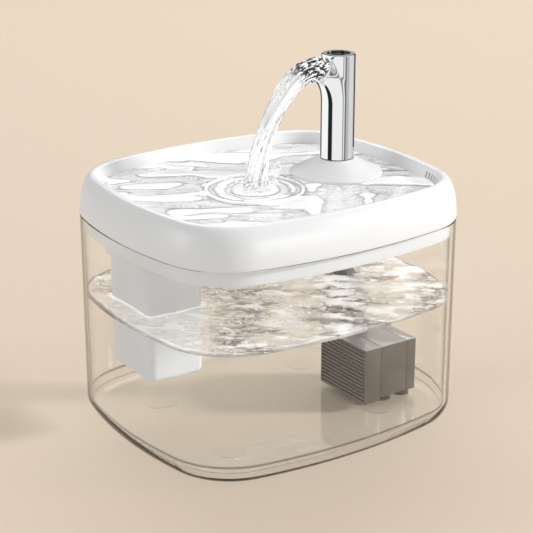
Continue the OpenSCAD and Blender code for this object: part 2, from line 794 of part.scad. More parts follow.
module chamber_cover() {
    hub_r = bush_r + 1;
    cover_x = case_front - cover_t;
    spoke_t = 1.2;
    color([0.5, 0.5, 0.5]) difference() {
        on_motor(cover_x) cylinder(h = cover_t, r = chamber_r + cover_t);
        difference() {
            on_motor(cover_x - over) cylinder(h = cover_t + 2 * over, d = eye_d);
            on_motor(cover_x - 2 * over) cylinder(h = cover_t + 4 * over, r = hub_r);
            for (a = [0 : 120 : 240]) on_motor(cover_x - 2 * over) rotate(a)
                translate([0, -spoke_t / 2, 0]) cube([eye_d, spoke_t, cover_t + 4 * over]);
        }
        on_motor(case_front - bush_l) cylinder(h = bush_l + over, r = bush_r);
    }
}

module impeller() {
    plate_x = rotor_start - plate_play - plate_t - plate_play;
    blade_x = case_front + end_play + plate_play;
    hub_r = shaft_r + 2;
    color(white) difference() {
        union() {
            on_motor(plate_x) cylinder(h = plate_t, r = impeller_r);
            on_motor(blade_x) cylinder(h = rotor_start - blade_x, r = hub_r);
            for (i = [0 : blade_count - 1]) on_motor(blade_x) rotate(360 * i / blade_count)
                translate([hub_r - blade_t, -blade_t / 2, 0])
                    cube([impeller_r - hub_r, blade_t, plate_x - blade_x + plate_t / 2]);
        }
        on_motor(blade_x - over) cylinder(h = rotor_start - blade_x + 2 * over, r = shaft_r + shaft_gap);
    }
}

module rotor_magnet() {
    color([0.2, 0.2, 0.22]) difference() {
        on_motor(rotor_start) cylinder(h = rotor_end - rotor_start, d = rotor_d);
        on_motor(rotor_start - over)
            cylinder(h = rotor_end - rotor_start + 2 * over, r = shaft_r + shaft_gap);
    }
}

module impeller_shaft() {
    color([0.85, 0.85, 0.85]) on_motor(shaft_start) cylinder(h = well_end - shaft_start, r = shaft_r);
}

module bush(x) {
    difference() {
        on_motor(x) cylinder(h = bush_l, r = bush_r);
        on_motor(x - over) cylinder(h = bush_l + 2 * over, r = shaft_r);
    }
}

module shaft_bushes() {
    color(dark) {
        bush(case_front - bush_l);
        bush(well_end - bush_l);
    }
}

// A U of steel sheets: a yoke in front of the rotor's well and a leg above and below it
module stator_core() {
    color([0.55, 0.56, 0.58]) difference() {
        translate([core_x, motor_y - yoke_reach, motor_z - core_gap / 2 - core_leg])
            cube([core_t, yoke_reach + leg_reach, core_gap + 2 * core_leg]);
        translate([core_x - over, motor_y - yoke_reach + core_leg, motor_z - core_gap / 2])
            cube([core_t + 2 * over, yoke_reach + leg_reach, core_gap]);
        on_motor(core_x - over) cylinder(h = core_t + 2 * over, r = well_r + well_wall + fit);
    }
}

module motor_coil() {
    coil_h = core_gap - 2 * fit;
    color([0.72, 0.45, 0.2]) translate([core_x, motor_y - yoke_reach, motor_z - coil_h / 2]) difference() {
        translate([-coil_t, -coil_t, 0]) cube([core_t + 2 * coil_t, core_leg + 2 * coil_t, coil_h]);
        translate([-fit, -fit, -over]) cube([core_t + 2 * fit, core_leg + 2 * fit, coil_h + 2 * over]);
    }
}

// Resin that fills the motor's pocket around the core and its coil
module motor_potting() {
    room = coil_t + 2 * fit;
    core_h = core_gap + 2 * core_leg;
    well_l = case_back - pocket_front;
    color([0.3, 0.28, 0.26]) difference() {
        motor_pocket(potting_back, fit);
        on_motor(pocket_front - over) cylinder(h = well_l + 2 * over, r = well_r + well_wall + fit);
        translate([core_x - room, motor_y - yoke_reach - room, motor_z - core_h / 2 - fit])
            cube([core_t + 2 * room, yoke_reach + leg_reach + 2 * room, core_h + 2 * fit]);
    }
}

// Draws its children along the motor's axis, raised to the cord's gland
module on_gland(x) {
    translate([0, 0, gland_up]) on_motor(x) children();
}

module rear_cover() {
    color(smoke) difference() {
        case_block(case_back, pump_back, case_z);
        motor_pocket(pump_back - pump_wall);
        on_gland(pump_back - pump_wall - over) cylinder(h = pump_wall + 2 * over, d = cord_d);
    }
}

module cable_gland() {
    color(dark) difference() {
        on_gland(pump_back) cylinder(h = gland_l, r1 = gland_r, r2 = gland_r - gland_taper);
        on_gland(pump_back - over) cylinder(h = gland_l + 2 * over, d = cord_d);
    }
}

module suction_cups() {
    cup_r = cup_d / 2;
    stem_r = 2;
    hollow = 0.8;
    edge = 0.6;
    inset = cup_r + 1;
    span_x = [case_front + inset, pump_back - inset];
    color(rubber) for (x = span_x, side = [-1, 1])
        translate([x, motor_y + side * (pump_w / 2 - inset), tank_floor_z]) rotate_extrude() polygon([
            [0, hollow], [cup_r - 1, 0], [cup_r, 0], [cup_r, edge],
            [stem_r, stem_r], [stem_r, cup_h], [0, cup_h]
        ]);
}

tank();
tank_pads();
tray();
faucet_base();
base_gasket();
base_nut();
faucet_tube();
faucet_liner();
faucet_cap();
faucet_orings();
faucet_washer();
filter_box();
filter_grille();
cartridge_frame();
filter_cotton();
filter_resin();
filter_carbon();
riser_hose();
pump_housing();
intake_cover();
pump_sponge();
chamber_cover();
impeller();
rotor_magnet();
impeller_shaft();
shaft_bushes();
stator_core();
motor_coil();
motor_potting();
rear_cover();
cable_gland();
suction_cups();
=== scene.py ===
"""Pet water fountain: the finish of every surface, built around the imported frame.

Everything is in metres and in the frame's own axes: +Z up, +X from the filter end to the tap end,
-Y the front. Each section makes one sub-part, and the water comes last.
"""

import json
import random
from math import atan2, cos, exp, hypot, pi, radians, sin, sqrt

import bmesh
import bpy
import numpy as np
from mathutils import Matrix, Vector, noise
from mathutils.geometry import delaunay_2d_cdt


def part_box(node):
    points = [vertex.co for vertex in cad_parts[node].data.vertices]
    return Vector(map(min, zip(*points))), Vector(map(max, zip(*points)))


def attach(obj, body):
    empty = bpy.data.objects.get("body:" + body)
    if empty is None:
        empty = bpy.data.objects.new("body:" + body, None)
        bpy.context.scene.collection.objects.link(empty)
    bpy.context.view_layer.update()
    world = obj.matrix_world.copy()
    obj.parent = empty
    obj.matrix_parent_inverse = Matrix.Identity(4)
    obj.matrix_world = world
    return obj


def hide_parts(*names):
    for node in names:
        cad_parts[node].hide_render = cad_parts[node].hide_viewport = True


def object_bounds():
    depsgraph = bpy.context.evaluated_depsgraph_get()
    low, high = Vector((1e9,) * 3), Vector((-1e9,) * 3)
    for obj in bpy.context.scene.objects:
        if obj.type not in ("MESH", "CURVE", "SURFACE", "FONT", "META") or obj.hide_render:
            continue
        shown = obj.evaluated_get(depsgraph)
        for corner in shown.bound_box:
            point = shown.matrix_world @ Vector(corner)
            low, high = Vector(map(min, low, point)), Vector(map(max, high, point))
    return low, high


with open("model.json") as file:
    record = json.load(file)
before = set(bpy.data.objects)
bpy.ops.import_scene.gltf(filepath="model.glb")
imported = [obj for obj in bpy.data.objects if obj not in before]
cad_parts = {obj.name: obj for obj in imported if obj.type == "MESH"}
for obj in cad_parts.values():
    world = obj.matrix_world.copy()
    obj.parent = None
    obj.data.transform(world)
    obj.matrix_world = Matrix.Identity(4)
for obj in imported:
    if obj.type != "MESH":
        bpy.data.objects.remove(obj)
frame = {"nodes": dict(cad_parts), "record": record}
CAD_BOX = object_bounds()

MM = 0.001


def node_box(name):
    """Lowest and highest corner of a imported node, as two arrays."""
    low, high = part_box(name)
    return np.array(low), np.array(high)


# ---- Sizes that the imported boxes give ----
BODY_L = CAD_BOX[1][0] - CAD_BOX[0][0]
BODY_W = CAD_BOX[1][1] - CAD_BOX[0][1]
TANK_Z = node_box("tank")[0][2]
SEAM_Z = node_box("tank")[1][2]
CREST_Z = node_box("tray")[1][2]
SOCKET_Z = node_box("tray")[0][2]
TAP_LOW, TAP_HIGH = node_box("faucet_tube")
CAP_LOW, CAP_HIGH = node_box("faucet_cap")
BASE_LOW, BASE_HIGH = node_box("faucet_base")
FILTER_LOW, FILTER_HIGH = node_box("filter_box")
GRILLE_LOW, GRILLE_HIGH = node_box("filter_grille")
INTAKE_LOW, INTAKE_HIGH = node_box("intake_cover")
HOUSING_LOW, HOUSING_HIGH = node_box("pump_housing")
REAR_LOW, REAR_HIGH = node_box("rear_cover")
HOSE_LOW, HOSE_HIGH = node_box("riser_hose")

# ---- Sizes that the boxes don't give: the solids' own, and where the water ends ----
END_BOW_R = 254 * MM
SIDE_BOW_R = 330 * MM
CORNER_R = 44 * MM
TANK_WALL = 3 * MM
TANK_FLOOR = 4 * MM
TANK_EDGE_R = 11 * MM
RIM_LEAN = 8 * MM
CREST_W = 0.6 * MM
LIP_R = 2.5 * MM
BASIN_DEPTH = 13.5 * MM
BASIN_DRAFT = 1.2 * MM
BASIN_FILLET_R = 6 * MM
TRAY_WALL = 2.4 * MM
SKIRT_DEPTH = 9 * MM
SKIRT_T = 2 * MM
SKIRT_GAP = 0.4 * MM
BASIN_WATER = 6.5 * MM
BASIN_WATER_IN = 12.15 * MM
SLOT_COUNT = 8
SLOT_W = 1.5 * MM
SLOT_PITCH = 3.2 * MM
SLOT_H = 4 * MM
NOTCH_W = 7 * MM
NOTCH_H = 6 * MM
BOX_R = 4.5 * MM
BOX_CHAMFER = 2.5 * MM
BOX_WALL = 1.8 * MM
SOCKET_GAP = 0.3 * MM
SOCKET_WALL = 2.4 * MM
TAP_R = 10 * MM
SPOUT_R = 7.9 * MM
SPOUT_BORE_R = 6.7 * MM
SPOUT_REACH = 14.4 * MM
SPOUT_TILT = radians(30)
SPOUT_LIP_DROP = 0.5 * MM
CAP_R = 7 * MM
NOZZLE_C = np.array([59.3, -10.1]) * MM
TANK_WATER_Z = 79 * MM
TANK_WATER_IN = TANK_WALL + 0.1 * MM
# How far a cutter goes past what it cuts, and how near a turned body's ends come to its axis
OVER = 1 * MM
NEAR_AXIS = 0.01 * MM
# The middle point of a small rounded edge lies this share of its radius in from both faces
EDGE_MID = 0.3
# The water's waves run along one level direction
ALONG = (0.826, -0.563)
ACROSS = (0.563, 0.826)
WAVE_STRETCH = 2.6

TAP_X = (CAP_LOW[0] + CAP_HIGH[0]) / 2
TAP_C = (TAP_X, 0.0)
Y_AXIS = np.array([0.0, 1.0, 0.0])
BASIN_Z = CREST_Z - BASIN_DEPTH
TRAY_UNDER_Z = BASIN_Z - TRAY_WALL
BASIN_WATER_Z = BASIN_Z + BASIN_WATER
CREST_IN = RIM_LEAN + CREST_W
BASIN_IN = CREST_IN + LIP_R
BOX_C = (FILTER_LOW[:2] + FILTER_HIGH[:2]) / 2
BOX_L, BOX_W = (FILTER_HIGH - FILTER_LOW)[:2]
SKIRT_OUT = TANK_WALL + SKIRT_GAP
SKIRT_IN = SKIRT_OUT + SKIRT_T


# ---- Outline of the fountain: four bows joined by four corner arcs ----
def corner_centre():
    """Centre of the +X +Y corner's arc, which touches the end bow and the side bow."""
    end_c = np.array([BODY_L / 2 - END_BOW_R, 0.0])
    side_c = np.array([0.0, BODY_W / 2 - SIDE_BOW_R])
    end_reach = END_BOW_R - CORNER_R
    side_reach = SIDE_BOW_R - CORNER_R
    gap = side_c - end_c
    gap_l = np.linalg.norm(gap)
    gap /= gap_l
    along = (end_reach**2 - side_reach**2 + gap_l**2) / (2 * gap_l)
    across = sqrt(end_reach**2 - along**2)
    return end_c + along * gap + across * np.array([-gap[1], gap[0]])


CORNER_C = corner_centre()
END_CX = BODY_L / 2 - END_BOW_R
SIDE_CY = BODY_W / 2 - SIDE_BOW_R
END_HALF = atan2(CORNER_C[1], CORNER_C[0] - END_CX)
SIDE_HALF = atan2(CORNER_C[0], CORNER_C[1] - SIDE_CY)


def outline_frame():
    """Points of the outline and the outward normal at each of them, anticlockwise from +X."""
    end_steps, side_steps, corner_steps = 18, 22, 22
    cx, cy = CORNER_C
    quarter = pi / 2
    half_outline = [
        ((END_CX, 0), END_BOW_R, -END_HALF, END_HALF, end_steps),
        ((cx, cy), CORNER_R, END_HALF, quarter - SIDE_HALF, corner_steps),
        ((0, SIDE_CY), SIDE_BOW_R, quarter - SIDE_HALF, quarter + SIDE_HALF, side_steps),
        ((-cx, cy), CORNER_R, quarter + SIDE_HALF, 2 * quarter - END_HALF, corner_steps),
    ]
    points, normals = [], []
    for centre, radius, start, end, steps in half_outline:
        for i in range(steps):
            angle = start + (end - start) * i / steps
            normals.append((cos(angle), sin(angle)))
            points.append(np.array(centre) + radius * np.array(normals[-1]))
    # The other half is the same after a half turn
    return np.vstack([points, -np.array(points)]), np.vstack([normals, -np.array(normals)])


OUTLINE, OUTLINE_N = outline_frame()


def outline_ring(inset, z):
    """The outline moved inwards by inset, at height z."""
    flat = OUTLINE - inset * OUTLINE_N
    return [(x, y, z) for x, y in flat]


def inset_at(x, y):
    """How far inside the outline a point lies."""
    x, y = abs(x), abs(y)
    turn = atan2(y - CORNER_C[1], x - CORNER_C[0])
    if END_HALF < turn < pi / 2 - SIDE_HALF:
        return CORNER_R - hypot(x - CORNER_C[0], y - CORNER_C[1])
    return min(END_BOW_R - hypot(x - END_CX, y), SIDE_BOW_R - hypot(x, y - SIDE_CY))


# The four corners' signs, anticlockwise
CORNERS = [(1, 1), (-1, 1), (-1, -1), (1, -1)]


def rounded_ring(centre, length, width, radius, z):
    """A rectangle with round corners at height z."""
    steps = 8
    ring = []
    for quarter, (sx, sy) in enumerate(CORNERS):
        for i in range(steps + 1):
            angle = (quarter + i / steps) * pi / 2
            x = centre[0] + sx * (length / 2 - radius) + radius * cos(angle)
            y = centre[1] + sy * (width / 2 - radius) + radius * sin(angle)
            ring.append((x, y, z))
    return ring


# ---- Mesh helpers ----
def add_object(name, data):
    obj = bpy.data.objects.new(name, data)
    bpy.context.scene.collection.objects.link(obj)
    return obj


def shade(obj, smooth_deg):
    obj.data.polygons.foreach_set("use_smooth", [True] * len(obj.data.polygons))
    obj.data.set_sharp_from_angle(angle=radians(smooth_deg))


def write_mesh(bm, mesh):
    """Puts a bmesh in a mesh, with its faces turned outwards."""
    bmesh.ops.recalc_face_normals(bm, faces=bm.faces)
    bm.to_mesh(mesh)
    bm.free()


def new_object(name, verts, faces, smooth_deg=35):
    """A mesh object, smooth apart from edges sharper than smooth_deg."""
    mesh = bpy.data.meshes.new(name)
    mesh.from_pydata([tuple(map(float, v)) for v in verts], [], faces)
    bm = bmesh.new()
    bm.from_mesh(mesh)
    write_mesh(bm, mesh)
    obj = add_object(name, mesh)
    shade(obj, smooth_deg)
    return obj


def loft(name, rings, capped=True, closed=False, smooth_deg=35):
    """Joins rings of equally many points. closed joins the last ring to the first instead of caps."""
    n = len(rings[0])
    verts = [p for ring in rings for p in ring]
    faces = []
    for j in range(len(rings) if closed else len(rings) - 1):
        a, b = j * n, ((j + 1) % len(rings)) * n
        for i in range(n):
            k = (i + 1) % n
            faces.append((a + i, a + k, b + k, b + i))
    if capped and not closed:
        faces += [tuple(reversed(range(n))), tuple(range(len(verts) - n, len(verts)))]
    return new_object(name, verts, faces, smooth_deg)


def held(levels):
    """Adds a level near both ends of each long straight stretch, so that its shading stays flat."""
    reach = 0.8 * MM
    out = [levels[0]]
    for start, end in zip(levels, levels[1:]):
        a, b = np.array(start), np.array(end)
        length = np.linalg.norm(b - a)
        if length > 4 * reach:
            inward = (b - a) * reach / length
            out += [tuple(a + inward), tuple(b - inward)]
        out.append(end)
    return out


def body_of_levels(name, levels):
    """A closed body whose outline is inset by each level's first value at its second, the height."""
    return loft(name, [outline_ring(inset, z) for inset, z in held(levels)])


def round_turn(segments):
    return [2 * pi * i / segments for i in range(segments)]


def circle(centre, radius, z, segments=64):
    x, y = centre
    return [(x + radius * cos(a), y + radius * sin(a), z) for a in round_turn(segments)]


def tilted_circle(centre, side, up, radius, segments):
    """A circle in the plane of two unit vectors."""
    return [tuple(centre + radius * (cos(a) * side + sin(a) * up)) for a in round_turn(segments)]


def lathe(name, profile, centre, segments=96, smooth_deg=35):
    """Turns a closed profile of (radius, z) points about the upright axis at centre."""
    rings = [circle(centre, r, z, segments) for r, z in held(profile)]
    return loft(name, rings, closed=True, smooth_deg=smooth_deg)


def box_object(name, low, high):
    (x0, y0, z0), (x1, y1, z1) = low, high
    return loft(name, [[(x0, y0, z), (x1, y0, z), (x1, y1, z), (x0, y1, z)] for z in (z0, z1)])


def store(obj, name, values):
    """Stores one value from 0 to 1 at each vertex, for a material to read."""
    marks = obj.data.attributes.new(name, "FLOAT", "POINT")
    marks.data.foreach_set("value", np.clip(values, 0, 1).astype(np.float32))


def step(value, edge, width):
    """0 below the edge and 1 above it, with a soft change of the given width."""
    t = min(1.0, max(0.0, (value - edge) / width + 0.5))
    return t * t * (3 - 2 * t)


def line(value, at, width):
    """1 where the value is at a level, falling to 0 within a few widths of it."""
    return exp(-(((value - at) / width) ** 2))


def apply_modifiers(obj, smooth_deg):
    """Puts the result of the object's modifiers in its mesh."""
    graph = bpy.context.evaluated_depsgraph_get()
    mesh = bpy.data.meshes.new_from_object(obj.evaluated_get(graph))
    obj.modifiers.clear()
    obj.data = mesh
    shade(obj, smooth_deg)


def cut(obj, cutters, smooth_deg=35):
    """Cuts each cutter out of the object and deletes the cutters."""
    for cutter in cutters:
        modifier = obj.modifiers.new("cut", "BOOLEAN")
        modifier.operation = "DIFFERENCE"
        modifier.solver = "EXACT"
        modifier.object = cutter
    apply_modifiers(obj, smooth_deg)
    for cutter in cutters:
        bpy.data.objects.remove(cutter)


def quarter_turn(steps):
    return [pi / 2 * i / steps for i in range(steps + 1)]


def foot_round(inset, z, r, steps=10):
    """A quarter round from [inset + r, z] at its foot to [inset, z + r]."""
    return [(inset + r * (1 - sin(a)), z + r * (1 - cos(a))) for a in quarter_turn(steps)]


def rim_arc(inset, lean, low, high, steps):
    """A quarter ellipse that rises from low to high while it leans in from the inset."""
    return [(inset + lean * (1 - cos(a)), low + (high - low) * sin(a))
            for a in quarter_turn(steps)]


# ---- Shader nodes ----
def set_socket(socket, value):
    """Links an output to a socket, or gives the socket a plain value."""
    if isinstance(value, bpy.types.NodeSocket):
        socket.id_data.links.new(value, socket)
    else:
        socket.default_value = (*value, 1) if socket.type == "RGBA" else value


def feed(node, **inputs):
    """Sets or links a node's sockets by name, where a name's spaces are written as underscores."""
    for name, value in inputs.items():
        set_socket(node.inputs[name.replace("_", " ")], value)


def put(tree, kind, settings=(), **inputs):
    """A new shader node of a kind, such as TexNoise, with its settings and its inputs."""
    node = tree.nodes.new("ShaderNode" + kind)
    for name, value in dict(settings).items():
        setattr(node, name, value)
    feed(node, **inputs)
    return node


def grey(level):
    return (level, level, level)


def object_place(tree):
    """A place in object space, which is the frame's own space in metres."""
    return put(tree, "TexCoord").outputs["Object"]


def noise_of(tree, scale, detail=4.0, roughness=0.55, stretch=(1, 1, 1)):
    """A number from noise in object space. A stretch under 1 draws its grain out along that axis."""
    mapping = put(tree, "Mapping", Vector=object_place(tree), Scale=stretch)
    texture = put(tree, "TexNoise", Vector=mapping.outputs["Vector"], Scale=scale, Detail=detail,
                  Roughness=roughness)
    return texture.outputs["Fac"]


def map_range(factor, low, high, start=0.0, end=1.0):
    """A number that goes from low to high while the factor goes from start to end."""
    node = put(factor.id_data, "MapRange", Value=factor, From_Min=start, From_Max=end, To_Min=low,
               To_Max=high)
    return node.outputs["Result"]


def vary(noise_out, low, high):
    """A number that follows noise, whose values lie mostly from 0.3 to 0.7."""
    return map_range(noise_out, low, high, 0.3, 0.7)


def ramp(factor, stops):
    """A colour that follows a factor through stops of (position, colour)."""
    node = put(factor.id_data, "ValToRGB", Fac=factor)
    elements = node.color_ramp.elements
    while len(elements) < len(stops):
        elements.new(0.5)
    for element, (position, colour) in zip(elements, stops):
        element.position = position
        element.color = (*colour, 1)
    return node.outputs["Color"]


def join(operation, first, second):
    """One number from an output and another output or plain number."""
    node = put(first.id_data, "Math", {"operation": operation})
    for socket, value in zip(node.inputs, (first, second)):
        set_socket(socket, value)
    return node.outputs["Value"]


def mix_shaders(factor, first, second):
    """A shader that goes from the first to the second with the factor."""
    node = put(factor.id_data, "MixShader", Fac=factor)
    for socket, value in zip(node.inputs[1:], (first, second)):
        set_socket(socket, value)
    return node.outputs["Shader"]


def add_bump(shader, height, strength, distance):
    node = put(shader.id_data, "Bump", Height=height, Strength=strength, Distance=distance)
    feed(shader, Normal=node.outputs["Normal"])


def let_light_through(shader, tint):
    """Lets lamps and soft light pass a clear surface unbent, as bent light paths are costly."""
    tree = shader.id_data
    clear = put(tree, "BsdfTransparent", Color=tint)
    path = put(tree, "LightPath")
    surface = shader.outputs["BSDF"]
    for ray in ("Is Diffuse Ray", "Is Shadow Ray"):
        surface = mix_shaders(path.outputs[ray], surface, clear.outputs["BSDF"])
    feed(tree.nodes["Material Output"], Surface=surface)


def read_mark(tree, name):
    return put(tree, "Attribute", {"attribute_name": name}).outputs["Fac"]


def painted_edge_shade(tree, mark, start, end, most):
    """Painted shade: the larger of a vertex mark of painted dark lines and a darkening that sets in where
    the surface turns away.
    """
    away = put(tree, "LayerWeight", Blend=0.5)
    fade = map_range(away.outputs["Facing"], 0.0, most, start, end)
    return join("MAXIMUM", read_mark(tree, mark), fade)


# ---- Materials: each function fills in a shader, and its tree is shader.id_data ----
def moulded(shader, colour, rough=0.35, grain=1400, depth=0.00004, tone=0.03, **extra):
    """Moulded plastic: a fine skin texture, slow changes of gloss and a slight change of tone."""
    clouds = noise_of(shader.id_data, 38, detail=3)
    darker = [c * (1 - tone) for c in colour]
    feed(shader, Base_Color=ramp(clouds, [(0.35, darker), (0.65, colour)]),
         Roughness=vary(clouds, rough * 0.85, rough * 1.15), **extra)
    add_bump(shader, noise_of(shader.id_data, grain, detail=2), 0.35, depth)


def clear_plastic(shader):
    # Painted shade on the glass: dark lines at the tank's foot, and darkening where the surface turns away
    edge = painted_edge_shade(shader.id_data, "edge", 0.70, 0.79, 0.95)
    flow = noise_of(shader.id_data, 22, detail=2, stretch=(1, 1, 0.35))
    feed(shader, Base_Color=ramp(edge, [(0.0, (0.985, 0.99, 0.988)), (1.0, grey(0.02))]),
         Transmission_Weight=1.0, IOR=1.46, Roughness=vary(flow, 0.0, 0.02))
    add_bump(shader, flow, 0.12, 0.0004)
    let_light_through(shader, (0.98, 0.985, 0.985))


def clear_rubber(shader):
    skin = noise_of(shader.id_data, 500, detail=3)
    feed(shader, Base_Color=(0.99, 0.99, 0.985), Transmission_Weight=1.0, IOR=1.07,
         Roughness=vary(skin, 0.04, 0.10))
    add_bump(shader, skin, 0.2, 0.00002)
    let_light_through(shader, grey(0.98))


def smoke_plastic(shader, dark=(0.085, 0.068, 0.056), light=(0.12, 0.097, 0.081)):
    """Smoky gloss plastic, with a painted highlight that makes the faces that look up paler."""
    tree = shader.id_data
    clouds = noise_of(tree, 60, detail=3)
    colour = ramp(clouds, [(0.35, dark), (0.65, light)])
    normal = put(tree, "NewGeometry").outputs["Normal"]
    upward = put(tree, "SeparateXYZ", Vector=normal).outputs["Z"]
    # Painted highlight: faces that look up are mixed towards pale grey
    painted_top_highlight = put(tree, "Mix", {"data_type": "RGBA"}, Factor=map_range(upward, 0.0, 1.0, 0.3, 0.95),
               A=colour, B=(0.46, 0.44, 0.43))
    feed(shader, Base_Color=painted_top_highlight.outputs["Result"], Roughness=vary(clouds, 0.16, 0.26),
         Transmission_Weight=0.15, IOR=1.5, Coat_Weight=1.0, Coat_Roughness=0.08)
    add_bump(shader, noise_of(tree, 900, detail=2), 0.3, 0.00003)


def chrome(shader):
    smear = noise_of(shader.id_data, 70, detail=4, stretch=(1, 1, 0.3))
    feed(shader, Metallic=1.0, Base_Color=(0.93, 0.935, 0.945), Roughness=vary(smear, 0.015, 0.05))


def metal(shader, colour, rough, brush=(1, 1, 1), scale=400):
    grain = noise_of(shader.id_data, scale, detail=3, stretch=brush)
    darker = [c * 0.8 for c in colour]
    feed(shader, Base_Color=ramp(grain, [(0.3, darker), (0.7, colour)]), Metallic=1.0,
         Roughness=vary(grain, rough * 0.8, rough * 1.3))
    add_bump(shader, grain, 0.3, 0.00003)


def granules(shader, dark, light, scale, rough):
    """Loose grains: a cell pattern that sets the colour and the height of each grain."""
    tree = shader.id_data
    cells = put(tree, "TexVoronoi", Vector=object_place(tree), Scale=scale)
    feed(shader, Base_Color=ramp(cells.outputs["Color"], [(0.2, dark), (0.8, light)]), Roughness=rough)
    add_bump(shader, cells.outputs["Distance"], 0.9, -0.0006)


def fibre(shader, colour, scale):
    """Felt or foam: soft, with a coarse open texture."""
    texture = noise_of(shader.id_data, scale, detail=6, roughness=0.7)
    darker = [c * 0.7 for c in colour]
    feed(shader, Base_Color=ramp(texture, [(0.35, darker), (0.6, colour)]), Roughness=0.9,
         Sheen_Weight=0.3)
    add_bump(shader, texture, 0.8, 0.0005)


def wave_lines(tree, scale, dark_levels, pale_levels, width):
    """Thin painted dark and pale lines along the waves, as two masks: contours of noise that is stretched
    with them.
    """
    mapping = put(tree, "Mapping", {"vector_type": "TEXTURE"}, Vector=object_place(tree),
                  Rotation=(0, 0, atan2(ALONG[1], ALONG[0])), Scale=(WAVE_STRETCH, 1, 1))
    texture = put(tree, "TexNoise", Vector=mapping.outputs["Vector"], Scale=scale, Detail=2.5,
                  Roughness=0.5, Distortion=0.7)
    masks = []
    for levels in (dark_levels, pale_levels):
        stops = []
        for level in levels:
            stops += [(level - width, grey(0)), (level, grey(1)), (level + width, grey(0))]
        masks.append(ramp(texture.outputs["Fac"], stops))
    return masks


def patterned_water(shader, vein_colour, white, calm_white=0.0, most_white=0.9, calm_glow=0.0,
                    glow=0.2, outline=0.0, fine_scale=100.0, fine_width=0.012):
    """Water whose vertices say where it is white, partly broken foam and partly a painted highlight,
    and where a painted dark line runs in place of the dark things that it mirrors and bends.

    They also say how strong its finest lines are (fine), which the shader draws as painted dark and
    pale lines. The glow is a painted reflection of the sky that broken water mirrors from every
    side, and calm_white makes calm water partly white in the same way. The outline is painted shade
    where it turns away.
    """
    tree = shader.id_data
    fine = read_mark(tree, "fine")
    dark, pale = wave_lines(tree, fine_scale, dark_levels=(0.40, 0.47, 0.54, 0.61),
                            pale_levels=(0.435, 0.575), width=fine_width)
    crest = join("MAXIMUM", read_mark(tree, "crest"), join("MULTIPLY", fine, pale))
    edge = painted_edge_shade(tree, "painted_dark_line", 0.6, 0.95, outline)
    painted_dark_line = join("MAXIMUM", edge, join("MULTIPLY", fine, dark))
    # Painted highlight and glow where the water is white, painted dark colour along its lines
    feed(shader, IOR=1.33, Roughness=0.03,
         Base_Color=ramp(painted_dark_line, [(0.0, white), (1.0, vein_colour)]),
         Emission_Color=ramp(painted_dark_line, [(0.0, grey(1)), (0.8, grey(0))]),
         Transmission_Weight=map_range(crest, 1.0 - calm_white, 1.0 - most_white),
         Emission_Strength=map_range(crest, calm_glow, glow))
    add_bump(shader, noise_of(tree, 420, detail=3), 0.4, 0.00005)
    let_light_through(shader, (0.97, 0.975, 0.975))


